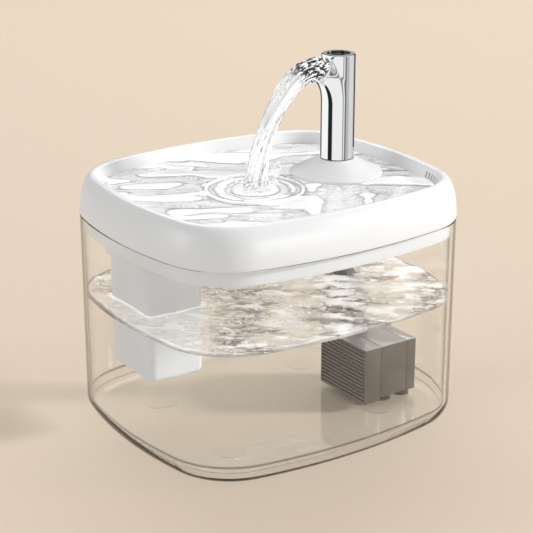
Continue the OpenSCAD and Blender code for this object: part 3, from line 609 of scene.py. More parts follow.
# Each material's function and its values
FINISHES = {
    "clear_plastic": (clear_plastic, {}),
    "white_plastic": (moulded, dict(colour=grey(0.90), rough=0.34, tone=0.012, Coat_Weight=0.15,
                                    Coat_Roughness=0.25)),
    "frosted_plastic": (moulded, dict(colour=(0.97, 0.97, 0.975), rough=0.38, grain=1100, tone=0.02,
                                      Transmission_Weight=0.08, IOR=1.46, Subsurface_Weight=0.3,
                                      Subsurface_Radius=(0.006, 0.006, 0.006))),
    "liner_plastic": (moulded, dict(colour=(0.86, 0.86, 0.85), rough=0.5)),
    "chrome": (chrome, {}),
    "black_gloss": (moulded, dict(colour=(0.003, 0.003, 0.004), rough=0.23, grain=600, depth=0.00001,
                                  Specular_IOR_Level=0.02)),
    "rubber": (clear_rubber, {}),
    "cup_rubber": (moulded, dict(colour=(0.07, 0.058, 0.05), rough=0.5, grain=700, depth=0.00005)),
    "black_rubber": (moulded, dict(colour=grey(0.02), rough=0.6, grain=700, depth=0.00008)),
    "silicone": (moulded, dict(colour=(0.16, 0.145, 0.13), rough=0.18, Transmission_Weight=0.4,
                               IOR=1.41)),
    "smoke_plastic": (smoke_plastic, {}),
    # The slats' smoky plastic is painted lighter, a painted highlight for the glints along the slats
    "slat_plastic_painted_highlight": (smoke_plastic, dict(dark=(0.22, 0.19, 0.165), light=(0.30, 0.265, 0.23))),
    "grey_plastic": (moulded, dict(colour=grey(0.20), rough=0.45)),
    "impeller_plastic": (moulded, dict(colour=(0.80, 0.80, 0.79), rough=0.4)),
    "magnet": (metal, dict(colour=(0.05, 0.05, 0.055), rough=0.5, scale=900)),
    "shaft_steel": (metal, dict(colour=(0.62, 0.62, 0.63), rough=0.2, brush=(1, 8, 8))),
    "core_steel": (metal, dict(colour=(0.32, 0.33, 0.35), rough=0.4, brush=(30, 1, 1), scale=60)),
    "copper": (metal, dict(colour=(0.62, 0.27, 0.10), rough=0.3, brush=(1, 1, 30), scale=90)),
    "potting_resin": (moulded, dict(colour=(0.035, 0.03, 0.028), rough=0.34, grain=200, depth=0.0002)),
    "filter_cotton": (fibre, dict(colour=(0.88, 0.88, 0.85), scale=900)),
    "filter_resin": (granules, dict(dark=(0.42, 0.22, 0.05), light=(0.75, 0.48, 0.16), scale=900,
                                    rough=0.35)),
    "filter_carbon": (granules, dict(dark=grey(0.008), light=grey(0.05), scale=700, rough=0.7)),
    "pump_sponge": (fibre, dict(colour=(0.02, 0.02, 0.022), scale=700)),
    # The waters' painted dark lines, painted white highlights and painted glow; the tank water's lines are
    # painted brown and the jet's outline is painted shade
    "basin_water": (patterned_water, dict(vein_colour=(0.20, 0.205, 0.21), white=(0.97, 0.975, 0.98),
                                          calm_white=0.72, calm_glow=0.10, glow=0.22,
                                          fine_scale=95.0, fine_width=0.014)),
    "tank_water": (patterned_water, dict(vein_colour=(0.10, 0.055, 0.03), white=(0.98, 0.95, 0.915),
                                         calm_white=0.12, most_white=0.8, calm_glow=0.09, glow=0.34,
                                         fine_scale=105.0, fine_width=0.018)),
    "jet_water": (patterned_water, dict(vein_colour=grey(0.02), white=grey(0.97), calm_white=0.2,
                                        most_white=0.85, glow=0.26, outline=0.85)),
}


def make_material(name, fill, **values):
    """A material whose shader a function fills in."""
    mat = bpy.data.materials.new(name)
    mat.use_nodes = True
    fill(mat.node_tree.nodes["Principled BSDF"], **values)
    return mat


MATERIALS = {name: make_material(name, fill, **values) for name, (fill, values) in FINISHES.items()}


def dress(obj, body, slot, *replaced, material=None):
    """Gives a new piece its material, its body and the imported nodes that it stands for."""
    obj.data.materials.clear()
    obj.data.materials.append(MATERIALS[material or slot])
    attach(obj, body)
    if replaced:
        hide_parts(*replaced)


def dress_nodes():
    """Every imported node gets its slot's material, the hidden ones too."""
    slots = {part["node"]: part["material_slot"] for part in frame["record"]["subparts"]}
    slots["suction_cups"] = "cup_rubber"
    for name, obj in frame["nodes"].items():
        obj.data.materials.clear()
        obj.data.materials.append(MATERIALS[slots[name]])
        shade(obj, 30)


# ---- Tank ----
def make_tank():
    soft = 0.5 * MM
    inner_z = TANK_Z + TANK_FLOOR
    levels = foot_round(0, TANK_Z, TANK_EDGE_R, steps=14)
    mid = soft * EDGE_MID
    levels += [(0, SEAM_Z - soft), (mid, SEAM_Z - mid), (soft, SEAM_Z)]
    levels += [(TANK_WALL - soft, SEAM_Z), (TANK_WALL - mid, SEAM_Z - mid)]
    levels += [(TANK_WALL, SEAM_Z - soft)]
    levels += foot_round(TANK_WALL, inner_z, TANK_EDGE_R - TANK_WALL, steps=32)[::-1]
    tank = body_of_levels("tank_shell", levels)
    # Painted dark lines round the foot, standing in for the shade along the glass's bottom edge, one on
    # the wall's inside and a fainter one on its outside
    inner_line_z, outer_line_z = inner_z + 7.5 * MM, TANK_Z + 4 * MM
    edges = []
    for inset, z in held(levels):
        on_inside = inset >= TANK_WALL - MM / 100
        dark = line(z, inner_line_z, 0.75 * MM) if on_inside else 0.6 * line(z, outer_line_z, 0.5 * MM)
        edges += [dark] * len(OUTLINE)
    store(tank, "edge", edges)
    dress(tank, "base", "clear_plastic", "tank")


def make_pads():
    """Four soft clear pads under the tank's corners."""
    low, high = 0, TANK_Z - 0.05 * MM
    radius, soft = 9 * MM, 0.25 * MM
    profile = [(NEAR_AXIS, low), (radius - soft, low), (radius, low + soft), (radius, high - soft),
               (radius - soft, high), (NEAR_AXIS, high)]
    for i, (sx, sy) in enumerate(CORNERS):
        pad = lathe(f"pad_{i}", profile, (sx * CORNER_C[0], sy * CORNER_C[1]), segments=64)
        dress(pad, "base", "rubber", "tank_pads")


# ---- Tray ----
def tray_levels():
    skirt_z = SEAM_Z - SKIRT_DEPTH
    ledge_z = SEAM_Z + TRAY_WALL
    soft = 0.5 * MM
    levels = foot_round(BASIN_IN + BASIN_DRAFT - TRAY_WALL, TRAY_UNDER_Z, BASIN_FILLET_R)
    levels += rim_arc(TRAY_WALL, BASIN_IN - 2 * TRAY_WALL, ledge_z, CREST_Z - TRAY_WALL, 10)[::-1]
    levels += [(SKIRT_IN, ledge_z), (SKIRT_IN, skirt_z + soft), (SKIRT_IN - soft, skirt_z)]
    levels += [(SKIRT_OUT + soft, skirt_z), (SKIRT_OUT, skirt_z + soft), (SKIRT_OUT, SEAM_Z)]
    levels += [(soft, SEAM_Z), (soft * EDGE_MID, SEAM_Z + soft * EDGE_MID)]
    levels += rim_arc(0, RIM_LEAN, SEAM_Z + soft, CREST_Z, 22)
    levels += rim_arc(BASIN_IN, -LIP_R, CREST_Z - LIP_R, CREST_Z, 8)[::-1]
    levels += foot_round(BASIN_IN + BASIN_DRAFT, BASIN_Z, BASIN_FILLET_R)[::-1]
    return levels


def slot_cutters():
    """Blocks that cut the overflow slots along the basin's wall, in the corner beside the tap."""
    turn = SLOT_PITCH / (CORNER_R - BASIN_IN)
    reach_out = CORNER_R - BASIN_IN + TRAY_WALL + OVER
    reach_in = CORNER_R - BASIN_IN - BASIN_DRAFT - OVER
    cutters = []
    for i in range(SLOT_COUNT):
        block = box_object("slot", (reach_in, -SLOT_W / 2, 0), (reach_out, SLOT_W / 2, SLOT_H))
        place = Matrix.Translation((CORNER_C[0], -CORNER_C[1], BASIN_WATER_Z))
        block.data.transform(place @ Matrix.Rotation(-turn * (i + 0.5), 4, "Z"))
        cutters.append(block)
    return cutters


def make_tray():
    tray = body_of_levels("tray_shell", tray_levels())
    under_z, over_z = TRAY_UNDER_Z - OVER, BASIN_Z + OVER
    window = box_object("window", (*GRILLE_LOW[:2], under_z), (*GRILLE_HIGH[:2], over_z))
    tap_hole_r = 9.1 * MM
    tap_hole = loft("tap_hole", [circle(TAP_C, tap_hole_r, z) for z in (under_z, over_z)])
    notch_x = CORNER_C[0]
    notch_y = SIDE_CY + sqrt((SIDE_BOW_R - SKIRT_IN) ** 2 - notch_x**2)
    notch = box_object("notch", (notch_x - NOTCH_W / 2, notch_y - OVER, SEAM_Z - SKIRT_DEPTH - OVER),
                       (notch_x + NOTCH_W / 2, BODY_W / 2 + OVER, SEAM_Z + NOTCH_H))
    cut(tray, [window, tap_hole, notch, *slot_cutters()])
    dress(tray, "tray", "white_plastic", "tray")


def make_socket():
    """Collar under the tray, which the filter box plugs into."""
    soft = 0.4 * MM
    outer = SOCKET_GAP + SOCKET_WALL
    top_z = TRAY_UNDER_Z + TRAY_WALL / 2
    steps = [(outer, top_z), (outer, SOCKET_Z + soft), (outer - soft, SOCKET_Z),
             (SOCKET_GAP + soft, SOCKET_Z), (SOCKET_GAP, SOCKET_Z + soft), (SOCKET_GAP, top_z)]
    rings = [rounded_ring(BOX_C, BOX_L + 2 * grow, BOX_W + 2 * grow, BOX_R + grow, z)
             for grow, z in held(steps)]
    socket = loft("filter_socket", rings, closed=True)
    dress(socket, "tray", "frosted_plastic", "tray")


# ---- Filter box ----
def make_filter_box():
    low, high = FILTER_LOW[2], FILTER_HIGH[2]
    inner_z = low + BOX_WALL
    levels = foot_round(0, low, BOX_CHAMFER, 6) + [(0, high), (BOX_WALL, high)]
    levels += foot_round(BOX_WALL, inner_z, BOX_CHAMFER, 6)[::-1]
    least_r = 1.2 * MM
    rings = [rounded_ring(BOX_C, BOX_L - 2 * inset, BOX_W - 2 * inset, max(BOX_R - inset, least_r), z)
             for inset, z in held(levels)]
    box = loft("filter_case", rings)
    drains = []
    drain_w, drain_pitch, drain_in = 2 * MM, 5 * MM, 6.8 * MM
    for i in range(-3, 4):
        y = BOX_C[1] + i * drain_pitch
        drains.append(box_object("drain", (FILTER_LOW[0] + drain_in, y - drain_w / 2, low - OVER),
                                 (FILTER_HIGH[0] - drain_in, y + drain_w / 2, inner_z + OVER)))
    cut(box, drains)
    dress(box, "filter_box", "frosted_plastic", "filter_box")


# ---- Tap ----
SPOUT_DIR = np.array([-cos(SPOUT_TILT), 0.0, sin(SPOUT_TILT)])
SPOUT_START = np.array([
    TAP_X, 0.0,
    TAP_HIGH[2] - SPOUT_LIP_DROP - SPOUT_REACH * sin(SPOUT_TILT) - SPOUT_R * cos(SPOUT_TILT),
])
SPOUT_DOWN = np.array([-sin(SPOUT_TILT), 0.0, -cos(SPOUT_TILT)])


def soft_min(a, b, k):
    h = np.maximum(k - np.abs(a - b), 0) / k
    return np.minimum(a, b) - h * h * k / 4


def soft_max(a, b, k):
    return -soft_min(-a, -b, k)


def tap_distance(points):
    """Signed distance to the tap: its tube and its spout, with a fillet that is widest below it."""
    least_blend, most_blend, edge = 0.6 * MM, 10 * MM, 0.9 * MM
    tube = np.hypot(points[:, 0] - TAP_X, points[:, 1]) - TAP_R
    offset = points - SPOUT_START
    along = offset @ SPOUT_DIR
    across = offset - along[:, None] * SPOUT_DIR
    radial = np.linalg.norm(across, axis=1)
    below = np.clip((across @ SPOUT_DOWN / np.maximum(radial, 1e-9) + 0.5) / 1.5, 0, 1)
    spout = np.maximum(radial - SPOUT_R, -along)
    solid = soft_min(tube, spout, least_blend + (most_blend - least_blend) * below**2)
    solid = soft_max(solid, along - SPOUT_REACH, edge)
    return soft_max(solid, points[:, 2] - TAP_HIGH[2], edge)


def tap_ring(z, segments):
    """Points of the tap's surface all round its axis at height z, found by stepping inwards."""
    turns = 2 * np.pi * np.arange(segments) / segments
    away = np.stack([np.cos(turns), np.sin(turns), np.zeros(segments)], axis=1)
    reach = np.full(segments, 3 * TAP_R)
    start = np.array([TAP_X, 0.0, z])
    for _ in range(200):
        reach -= 0.8 * tap_distance(start + reach[:, None] * away)
    return start + reach[:, None] * away


def spout_circle(radius, along):
    """A circle across the spout's axis."""
    up = np.cross(SPOUT_DIR, Y_AXIS)
    return tilted_circle(SPOUT_START + along * SPOUT_DIR, Y_AXIS, up, radius, 64)


def make_tap():
    segments, neck_z, fine, shy = 192, 184 * MM, 0.3 * MM, 0.02 * MM
    top_z = TAP_HIGH[2]
    heights = list(np.linspace(TAP_LOW[2], neck_z, 10, endpoint=False))
    heights += list(np.arange(neck_z, top_z - shy, fine)) + [top_z - shy]
    rings = [tap_ring(z, segments) for z in heights]
    recess_r = CAP_R + 0.05 * MM
    for radius, z in ((recess_r, top_z), (recess_r, CAP_LOW[2]), (CAP_R * 0.5, CAP_LOW[2])):
        rings.append(circle(TAP_C, radius, z, segments))
    tap = loft("tap_body", rings, smooth_deg=50)
    bore = loft("bore", [spout_circle(SPOUT_BORE_R, t) for t in (4 * MM, SPOUT_REACH + OVER)])
    cut(tap, [bore], smooth_deg=50)
    dress(tap, "faucet", "chrome", "faucet_tube")


def make_cap():
    soft = 0.35 * MM
    low, high = CAP_LOW[2], CAP_HIGH[2]
    crown = 0.25 * MM
    profile = [(NEAR_AXIS, low), (CAP_R, low), (CAP_R, high - soft - crown)]
    mid = soft * EDGE_MID
    profile += [(CAP_R - mid, high - mid - crown), (CAP_R - soft, high - crown)]
    profile += [(CAP_R * 0.6, high - crown * 0.35), (NEAR_AXIS, high)]
    cap = lathe("tap_cap", profile, TAP_C)
    dress(cap, "faucet", "black_gloss", "faucet_cap")


def make_base():
    """The white cone that the tap stands on, with soft edges, and its neck and tail below."""
    edge_z, foot_z, top_z = 143 * MM, 136.3 * MM, BASE_HIGH[2]
    flange_r, flare, top_r = 27 * MM, 0.8 * MM, TAP_R + 1 * MM
    neck_r, neck_z, tail_r, tail_bore_r = 9 * MM, 126.1 * MM, 4.5 * MM, 3 * MM
    socket_r, plug_end_z = 6.02 * MM, 131 * MM
    wall = TRAY_WALL
    soft = 0.9 * MM
    slope = atan2(top_z - edge_z, flange_r - top_r)
    dr, dz = soft * cos(slope), soft * sin(slope)
    profile = [
        (socket_r, plug_end_z), (socket_r, top_z - 0.3 * MM), (socket_r + 0.3 * MM, top_z),
        (top_r - 0.5 * MM, top_z), (top_r, top_z - 0.12 * MM), (top_r + dr, top_z - dz),
        (flange_r - 1.6 * dr, edge_z + 1.6 * dz), (flange_r - 0.7 * dr, edge_z + 0.75 * dz),
        (flange_r - 0.15 * MM, edge_z + 0.1 * MM), (flange_r + 0.1 * MM, edge_z - soft),
        (flange_r + flare, foot_z), (flange_r + flare - wall, foot_z),
        (flange_r - wall, edge_z - wall), (neck_r + wall, top_z - 2 * wall), (neck_r + wall, foot_z),
        (neck_r, foot_z), (neck_r, neck_z), (tail_r, neck_z), (tail_r, BASE_LOW[2]),
        (tail_bore_r, BASE_LOW[2]), (tail_bore_r, plug_end_z),
    ]
    base = lathe("tap_base", profile, TAP_C, smooth_deg=32)
    dress(base, "tray", "white_plastic", "faucet_base")


# ---- Hose ----
def hose_path():
    """The hose's middle line: straight over both tails, with an S bend between."""
    end = np.array(TAP_C)
    bend_low, bend_high, steps = 56 * MM, 94 * MM, 24
    path = [(*NOZZLE_C, HOSE_LOW[2])]
    for i in range(steps + 1):
        t = i / steps
        flat = NOZZLE_C + (end - NOZZLE_C) * t * t * (3 - 2 * t)
        path.append((*flat, bend_low + (bend_high - bend_low) * t))
    path.append((*end, HOSE_HIGH[2]))
    return [np.array(p) for p in path]


def tube_rings(path, radius, segments=32):
    """Rings across a path that starts and ends upright and never lies level."""
    upright = np.array([0.0, 0.0, 1.0])
    rings = []
    for i, p in enumerate(path):
        ahead = upright if i in (0, len(path) - 1) else path[i + 1] - path[i - 1]
        ahead = ahead / np.linalg.norm(ahead)
        side = np.cross(Y_AXIS, ahead)
        side /= np.linalg.norm(side)
        rings.append(tilted_circle(p, side, np.cross(ahead, side), radius, segments))
    return rings


def make_hose():
    outer_r, inner_r = 6.5 * MM, 4.6 * MM
    path = hose_path()
    rings = tube_rings(path, outer_r) + tube_rings(path, inner_r)[::-1]
    hose = loft("hose", rings, closed=True)
    dress(hose, "base", "silicone", "riser_hose")


# ---- Pump ----
def soft_box(name, low, high):
    """A box with rounded edges."""
    box = box_object(name, low, high)
    bevel = box.modifiers.new("bevel", "BEVEL")
    bevel.width = 0.4 * MM
    bevel.segments = 3
    bevel.limit_method = "ANGLE"
    apply_modifiers(box, 35)
    return box


def make_pump():
    housing = soft_box("pump_case", HOUSING_LOW, (*HOUSING_HIGH[:2], INTAKE_HIGH[2]))
    dress(housing, "base", "smoke_plastic", "pump_housing")
    foot_z, top_z, chamfer = INTAKE_HIGH[2] - OVER, HOUSING_HIGH[2], 0.4 * MM
    bore_r, nozzle_r = 3 * MM, 4.5 * MM
    profile = [(bore_r, foot_z), (nozzle_r, foot_z), (nozzle_r, top_z - chamfer),
               (nozzle_r - chamfer, top_z), (bore_r, top_z)]
    nozzle = lathe("pump_nozzle", profile, NOZZLE_C, segments=48)
    dress(nozzle, "base", "smoke_plastic", "pump_housing")
    rear = soft_box("pump_rear", REAR_LOW, REAR_HIGH)
    dress(rear, "base", "smoke_plastic", "rear_cover")


# A block's faces, by the corners of its front (0 to 3) and back (4 to 7)
BLOCK_FACES = [(0, 1, 5, 4), (1, 2, 6, 5), (2, 3, 7, 6), (3, 0, 4, 7), (3, 2, 1, 0), (4, 5, 6, 7)]


def make_intake():
    """The intake cover: a frame that is open to the pump, with slats across its face."""
    wall, lip = 1.8 * MM, 1.1 * MM
    cover = soft_box("intake_frame", INTAKE_LOW, INTAKE_HIGH)
    hollow = box_object("hollow", INTAKE_LOW + wall, INTAKE_HIGH + np.array([OVER, -wall, -wall]))
    mouth = box_object("mouth", INTAKE_LOW + np.array([-OVER, lip, lip]),
                       (INTAKE_LOW[0] + 2 * wall, *(INTAKE_HIGH[1:] - lip)))
    cut(cover, [hollow, mouth])
    dress(cover, "intake_cover", "smoke_plastic", "intake_cover")
    count, sunk = 14, 0.3 * MM
    low_z, high_z = INTAKE_LOW[2] + lip, INTAKE_HIGH[2] - lip
    pitch = (high_z - low_z) / count
    half_t = 0.15 * pitch
    x0 = INTAKE_LOW[0] + 0.1 * MM
    x1 = x0 + 0.8 * MM
    y0, y1 = INTAKE_LOW[1] + 0.8 * lip, INTAKE_HIGH[1] - 0.8 * lip
    verts, faces = [], []
    for i in range(count + 1):
        z0 = max(low_z + pitch * i - half_t, low_z - sunk)
        z1 = min(low_z + pitch * i + half_t, high_z + sunk)
        faces += [[len(verts) + k for k in face] for face in BLOCK_FACES]
        verts += [(x, y, z) for y in (y0, y1) for x, z in ((x0, z0), (x0, z1), (x1, z1), (x1, z0))]
    slats = new_object("intake_slats", verts, faces)
    # The slats take the lighter copy of the smoky plastic, a painted highlight
    dress(slats, "intake_cover", "smoke_plastic", "intake_cover", material="slat_plastic_painted_highlight")


# ---- Water ----
def add_marks(obj, crests, painted_dark_lines, fines):
    """Stores at each vertex how white the water is, partly foam and partly painted highlight, where its
    painted dark lines run, and how strong its fine lines are.
    """
    store(obj, "crest", crests)
    store(obj, "painted_dark_line", painted_dark_lines)
    store(obj, "fine", fines)


def sheet(name, ring, holes, field, spacing, rim_z):
    """A surface inside a ring and outside the holes.

    field(x, y) gives the height and the three marks at each point. The borders stay close to rim_z.
    """
    low, high = np.min(ring, axis=0), np.max(ring, axis=0)
    row_gap = spacing * sqrt(3) / 2
    rng = random.Random(4)
    inner = []
    for j in range(int((high[1] - low[1]) / row_gap) + 1):
        for i in range(int((high[0] - low[0]) / spacing) + 1):
            x = low[0] + (i + 0.5 * (j % 2)) * spacing + rng.uniform(-0.1, 0.1) * spacing
            y = low[1] + j * row_gap + rng.uniform(-0.1, 0.1) * spacing
            inner.append((x, y))
    inner = np.array(inner)
    holes = [np.array(hole) for hole in holes]
    keep = inside(inner, np.array(ring), spacing * 0.5)
    for hole in holes:
        keep &= ~inside(inner, hole, -spacing * 0.5)
    # The borders' points come first, and the triangles keep each border as a loop
    points, loops = [], []
    for border in (ring, *holes):
        loops.append(list(range(len(points), len(points) + len(border))))
        points += [Vector(p) for p in border]
    rim_count = len(points)
    points += [Vector(p) for p in inner[keep]]
    flat, _, faces, sources, *_ = delaunay_2d_cdt(points, [], loops, 2, 1e-7)
    # Triangles whose middle lies in a hole are left out
    centres = np.array([np.mean([flat[i] for i in f], axis=0) for f in faces])
    open_face = ~np.any([inside(centres, hole, 0) for hole in holes], axis=0)
    faces = [f for f, is_open in zip(faces, open_face) if is_open]
    used = sorted({i for f in faces for i in f})
    index = {old: new for new, old in enumerate(used)}
    verts, marks = [], []
    for i in used:
        height, *mark = field(*flat[i])
        if sources[i] and min(sources[i]) < rim_count:
            height = rim_z + 0.3 * (height - rim_z)
        verts.append((*flat[i], height))
        marks.append(mark)
    obj = new_object(name, verts, [tuple(index[i] for i in f) for f in faces], smooth_deg=180)
    if obj.data.polygons[0].normal.z < 0:
        obj.data.flip_normals()
    add_marks(obj, *zip(*marks))
    return obj


def inside(points, ring, margin):
    """Which points lie inside a convex ring by more than margin."""
    nxt = np.roll(ring, -1, axis=0)
    edge = nxt - ring
    edge /= np.linalg.norm(edge, axis=1)[:, None]
    area = np.sum(ring[:, 0] * nxt[:, 1] - nxt[:, 0] * ring[:, 1])
    inward = np.stack([-edge[:, 1], edge[:, 0]], axis=1) * np.sign(area)
    distance = (points[:, None, :] - ring[None, :, :]) * inward[None, :, :]
    return np.all(distance.sum(axis=2) > margin, axis=1)


def close_below(obj, lower):
    """Makes a sheet a closed body: each point gets a twin below it, at the height lower(z)."""
    bm = bmesh.new()
    bm.from_mesh(obj.data)
    border = [e for e in bm.edges if e.is_boundary]
    copy = bmesh.ops.duplicate(bm, geom=list(bm.verts) + list(bm.edges) + list(bm.faces))
    twins = copy["vert_map"]
    for item in copy["geom"]:
        if isinstance(item, bmesh.types.BMVert):
            item.co.z = lower(item.co.z)
    bmesh.ops.reverse_faces(bm, faces=[f for f in copy["geom"] if isinstance(f, bmesh.types.BMFace)])
    for edge in border:
        a, b = edge.verts
        bm.faces.new((a, b, twins[b], twins[a]))
    write_mesh(bm, obj.data)
    shade(obj, 60)


JET_FOOT = (-9 * MM, -1 * MM)
RING_C = (-11 * MM, -3 * MM)
RING_R = 28 * MM
FOAM_R = 10 * MM
BOSS_R = 27.2 * MM
# The width of a drawn line, along the waves and across them
PEN_ALONG = 0.45 * MM
PEN_ACROSS = 1.0 * MM


def noise_at(x, y, z, fall, gap, octaves):
    """Fractal noise at a place, each octave weaker by its fall and finer by its gap."""
    return noise.fractal(Vector((x, y, z)), fall, gap, octaves)


def wave_place(x, y):
    """A place as its distances along and across the waves."""
    return x * ALONG[0] + y * ALONG[1], x * ACROSS[0] + y * ACROSS[1]


def fractal(u, v, scale, seed, octaves=3):
    return noise_at(u * scale, v * scale, seed, 0.9, 2.1, octaves)


def pen_width(level_at, u, v, level):
    """How much a level changes over the width of a drawn line."""
    change_u = level_at(u + PEN_ALONG, v) - level
    change_v = level_at(u, v + PEN_ACROSS) - level
    least = 0.012
    return max(least, hypot(change_u, change_v))


def from_point(u, v, centre):
    """Distance from a level point, and a line's width in that direction."""
    centre_u, centre_v = wave_place(*centre)
    du, dv = u - centre_u, v - centre_v
    r = max(1e-6, hypot(du, dv))
    return r, hypot(PEN_ALONG * du, PEN_ACROSS * dv) / r, du, dv


def basin_level(u, v):
    """The basin's swells, which turn to rings around the jet's foot."""
    r = from_point(u, v, RING_C)[0]
    near = exp(-((r / (1.1 * RING_R)) ** 6))
    warp = 6 * MM * fractal(u * 0.6, v, 40, 21.0, 2)
    swell = fractal((u + 1.5 * warp) * 0.34, v + 0.6 * warp, 60, 2.0, 2)
    waves = 0.4 * sin(2 * pi * r / (9.5 * MM) + 3.0 * swell)
    level = (1 - near) * swell + near * (waves + 0.5 * swell)
    # Calm water in front of the tap, left grey as a painted reflection of the tap, with a white swell on
    # either side of it
    du, dv = from_point(u, v, TAP_C)[2:]
    in_front = step(-dv, 26 * MM, 8 * MM)
    return level + in_front * (0.5 * line(abs(du), 15 * MM, 4 * MM) - 0.8 * line(du, 0, 9 * MM))


def basin_field(x, y):
    """The basin's water: white swells, partly foam and partly painted highlight, edged by painted dark
    lines, and the ring around the jet's foot.
    """
    u, v = wave_place(x, y)
    level = basin_level(u, v)
    pen = pen_width(basin_level, u, v, level)
    chop = fractal(u * 0.35, v, 170, 7.0, 2)
    white_from, low_line = 0.16, -0.2
    crest = step(level, white_from, 2 * pen)
    painted_dark_line = 0.65 * line(level, white_from - 1.8 * pen, pen) + 0.3 * line(level, low_line, 0.8 * pen)
    # The ring around the jet's foot: painted highlights with beads, and painted dark lines on both sides
    r, ring_pen, du, dv = from_point(u, v, RING_C)
    ring = line(r, RING_R, 1.6 * ring_pen)
    beads = 0.5 + 0.5 * sin(40 * atan2(dv, du) + 6 * level)
    crest = max(crest, ring * (1 - 0.8 * beads * step(du, 0, 20 * MM)))
    painted_dark_line = max(painted_dark_line * (1 - ring), line(r, RING_R + 3.2 * ring_pen, ring_pen),
               0.8 * line(r, RING_R - 3.2 * ring_pen, ring_pen))
    foam = exp(-((from_point(u, v, JET_FOOT)[0] / FOAM_R) ** 4))
    specks = fractal(u, v * 0.5, 480, 5.0, 2)
    crest = max(crest * (1 - foam), foam * step(specks, -0.05, 0.3))
    painted_dark_line = painted_dark_line * (1 - foam) + foam * 0.8 * line(specks, -0.22, 0.1)
    # Painted shade: dark lines where the water meets the tap's base and the basin's wall
    boss, boss_pen = from_point(u, v, TAP_C)[:2]
    at_boss = line(boss, BOSS_R, 1.8 * boss_pen)
    at_wall = 0.4 * line(inset_at(x, y), BASIN_WATER_IN, 0.8 * MM)
    painted_dark_line = max(painted_dark_line * (1 - crest), 0.4 * at_boss, at_wall)
    height = 0.5 * MM * level + 0.35 * MM * crest + 0.12 * MM * chop + 0.8 * MM * ring
    fine = (0.2 + 0.5 * step(chop, 0.0, 0.5)) * (1 - max(crest, foam, ring))
    return BASIN_WATER_Z + height, crest * (1 - at_boss), painted_dark_line, fine


def water_edge(inset):
    return [tuple(p) for p in OUTLINE - inset * OUTLINE_N]


def make_basin_water():
    spacing, into_floor = 0.75 * MM, 0.1 * MM
    boss = [p[:2] for p in circle(TAP_C, BOSS_R, 0, 72)]
    basin = sheet("basin_water", water_edge(BASIN_WATER_IN), [boss], basin_field, spacing, BASIN_WATER_Z)
    close_below(basin, lambda z: BASIN_Z - into_floor)
    dress(basin, "tray", "water", material="basin_water")


def tank_level(u, v):
    warp = 5 * MM * fractal(u * 0.7, v, 60, 31.0, 2)
    return fractal((u + 1.4 * warp) * 0.42, v + 0.5 * warp, 78, 12.0)


def tank_field(x, y):
    """The tank's water: thin painted brown lines on a clear ground, and white over the pump's end, partly
    broken foam and partly painted highlight.
    """
    u, v = wave_place(x, y)
    level = tank_level(u, v)
    pen = 0.75 * pen_width(tank_level, u, v, level)
    small = fractal(u * 0.45, v, 150, 3.0)
    # How strong the painted dark lines are, changing from place to place
    painted_line_strength = 0.75 * step(fractal(u * 0.5, v, 45, 8.0, 2), -0.05, 0.5)
    # Still at the filter end, and broken around the hose and past it
    still = step(-u, 28 * MM, 20 * MM) * step(-v, 15 * MM, 30 * MM)
    over_hose = line(u, 41 * MM, 12 * MM)
    broken = max(0.85 * step(u, 62 * MM, 40 * MM), over_hose)
    crest = 0.9 * broken * step(level + 0.5 * small, 0.14 - 0.1 * over_hose, 0.12)
    crest = max(crest, 0.8 * step(small, 0.42, 0.15), 0.4 * line(level, 0.22, 1.5 * pen))
    painted_dark_line = 0.0
    for at in (-0.34, -0.08, 0.2):
        painted_dark_line = max(painted_dark_line, (0.2 + painted_line_strength) * line(level, at, pen))
    painted_dark_line = max(painted_dark_line, over_hose * line(small, -0.1, 0.1), 0.35 * line(small, -0.3, 0.07)) * (1 - crest)
    painted_dark_line *= 1 - 0.75 * still
    crest *= 1 - 0.5 * still
    # Painted shade: a dark line along the tank's wall, with a painted highlight just inside it and round
    # the filter box
    wall = inset_at(x, y) - TANK_WATER_IN
    at_left = step(-u, 79 * MM, 20 * MM)
    at_wall = line(wall, 0, (0.6 + 1.3 * at_left) * MM)
    painted_dark_line = max(painted_dark_line, (0.6 + 0.4 * at_left) * at_wall)
    crest = max(crest * (1 - at_wall), 0.6 * line(wall, 2.6 * MM, 0.9 * MM))
    off_x = max(0.0, abs(x - BOX_C[0]) - BOX_L / 2)
    off_y = max(0.0, abs(y - BOX_C[1]) - BOX_W / 2)
    at_box = line(hypot(off_x, off_y), 0, 1.6 * MM)
    crest, painted_dark_line = max(crest, at_box), painted_dark_line * (1 - at_box)
    fine = (0.15 + painted_line_strength) * (1 - 0.7 * still) * (1 - max(crest, at_box, at_wall))
    return TANK_WATER_Z + (1.1 * level + 0.4 * small + 0.5 * at_box) * MM, crest, painted_dark_line, fine


def make_tank_water():
    """The surface of the tank's water: rippled above, calmer below, and thin, to bend no view."""
    spacing, clear, hose_hole_r = 0.95 * MM, 0.4 * MM, 6.9 * MM
    box_hole = [p[:2] for p in rounded_ring(BOX_C, BOX_L + clear, BOX_W + clear, BOX_R, 0)]
    hose_at_water = min(hose_path(), key=lambda p: abs(p[2] - TANK_WATER_Z))
    hose_hole = [p[:2] for p in circle(hose_at_water[:2], hose_hole_r, 0, 48)]
    top = sheet("tank_water", water_edge(TANK_WATER_IN), [box_hole, hose_hole], tank_field, spacing,
                TANK_WATER_Z)
    thickness, calm = 1.3 * MM, 0.35
    close_below(top, lambda z: TANK_WATER_Z + calm * (z - TANK_WATER_Z) - thickness)
    dress(top, "base", "water", material="tank_water")


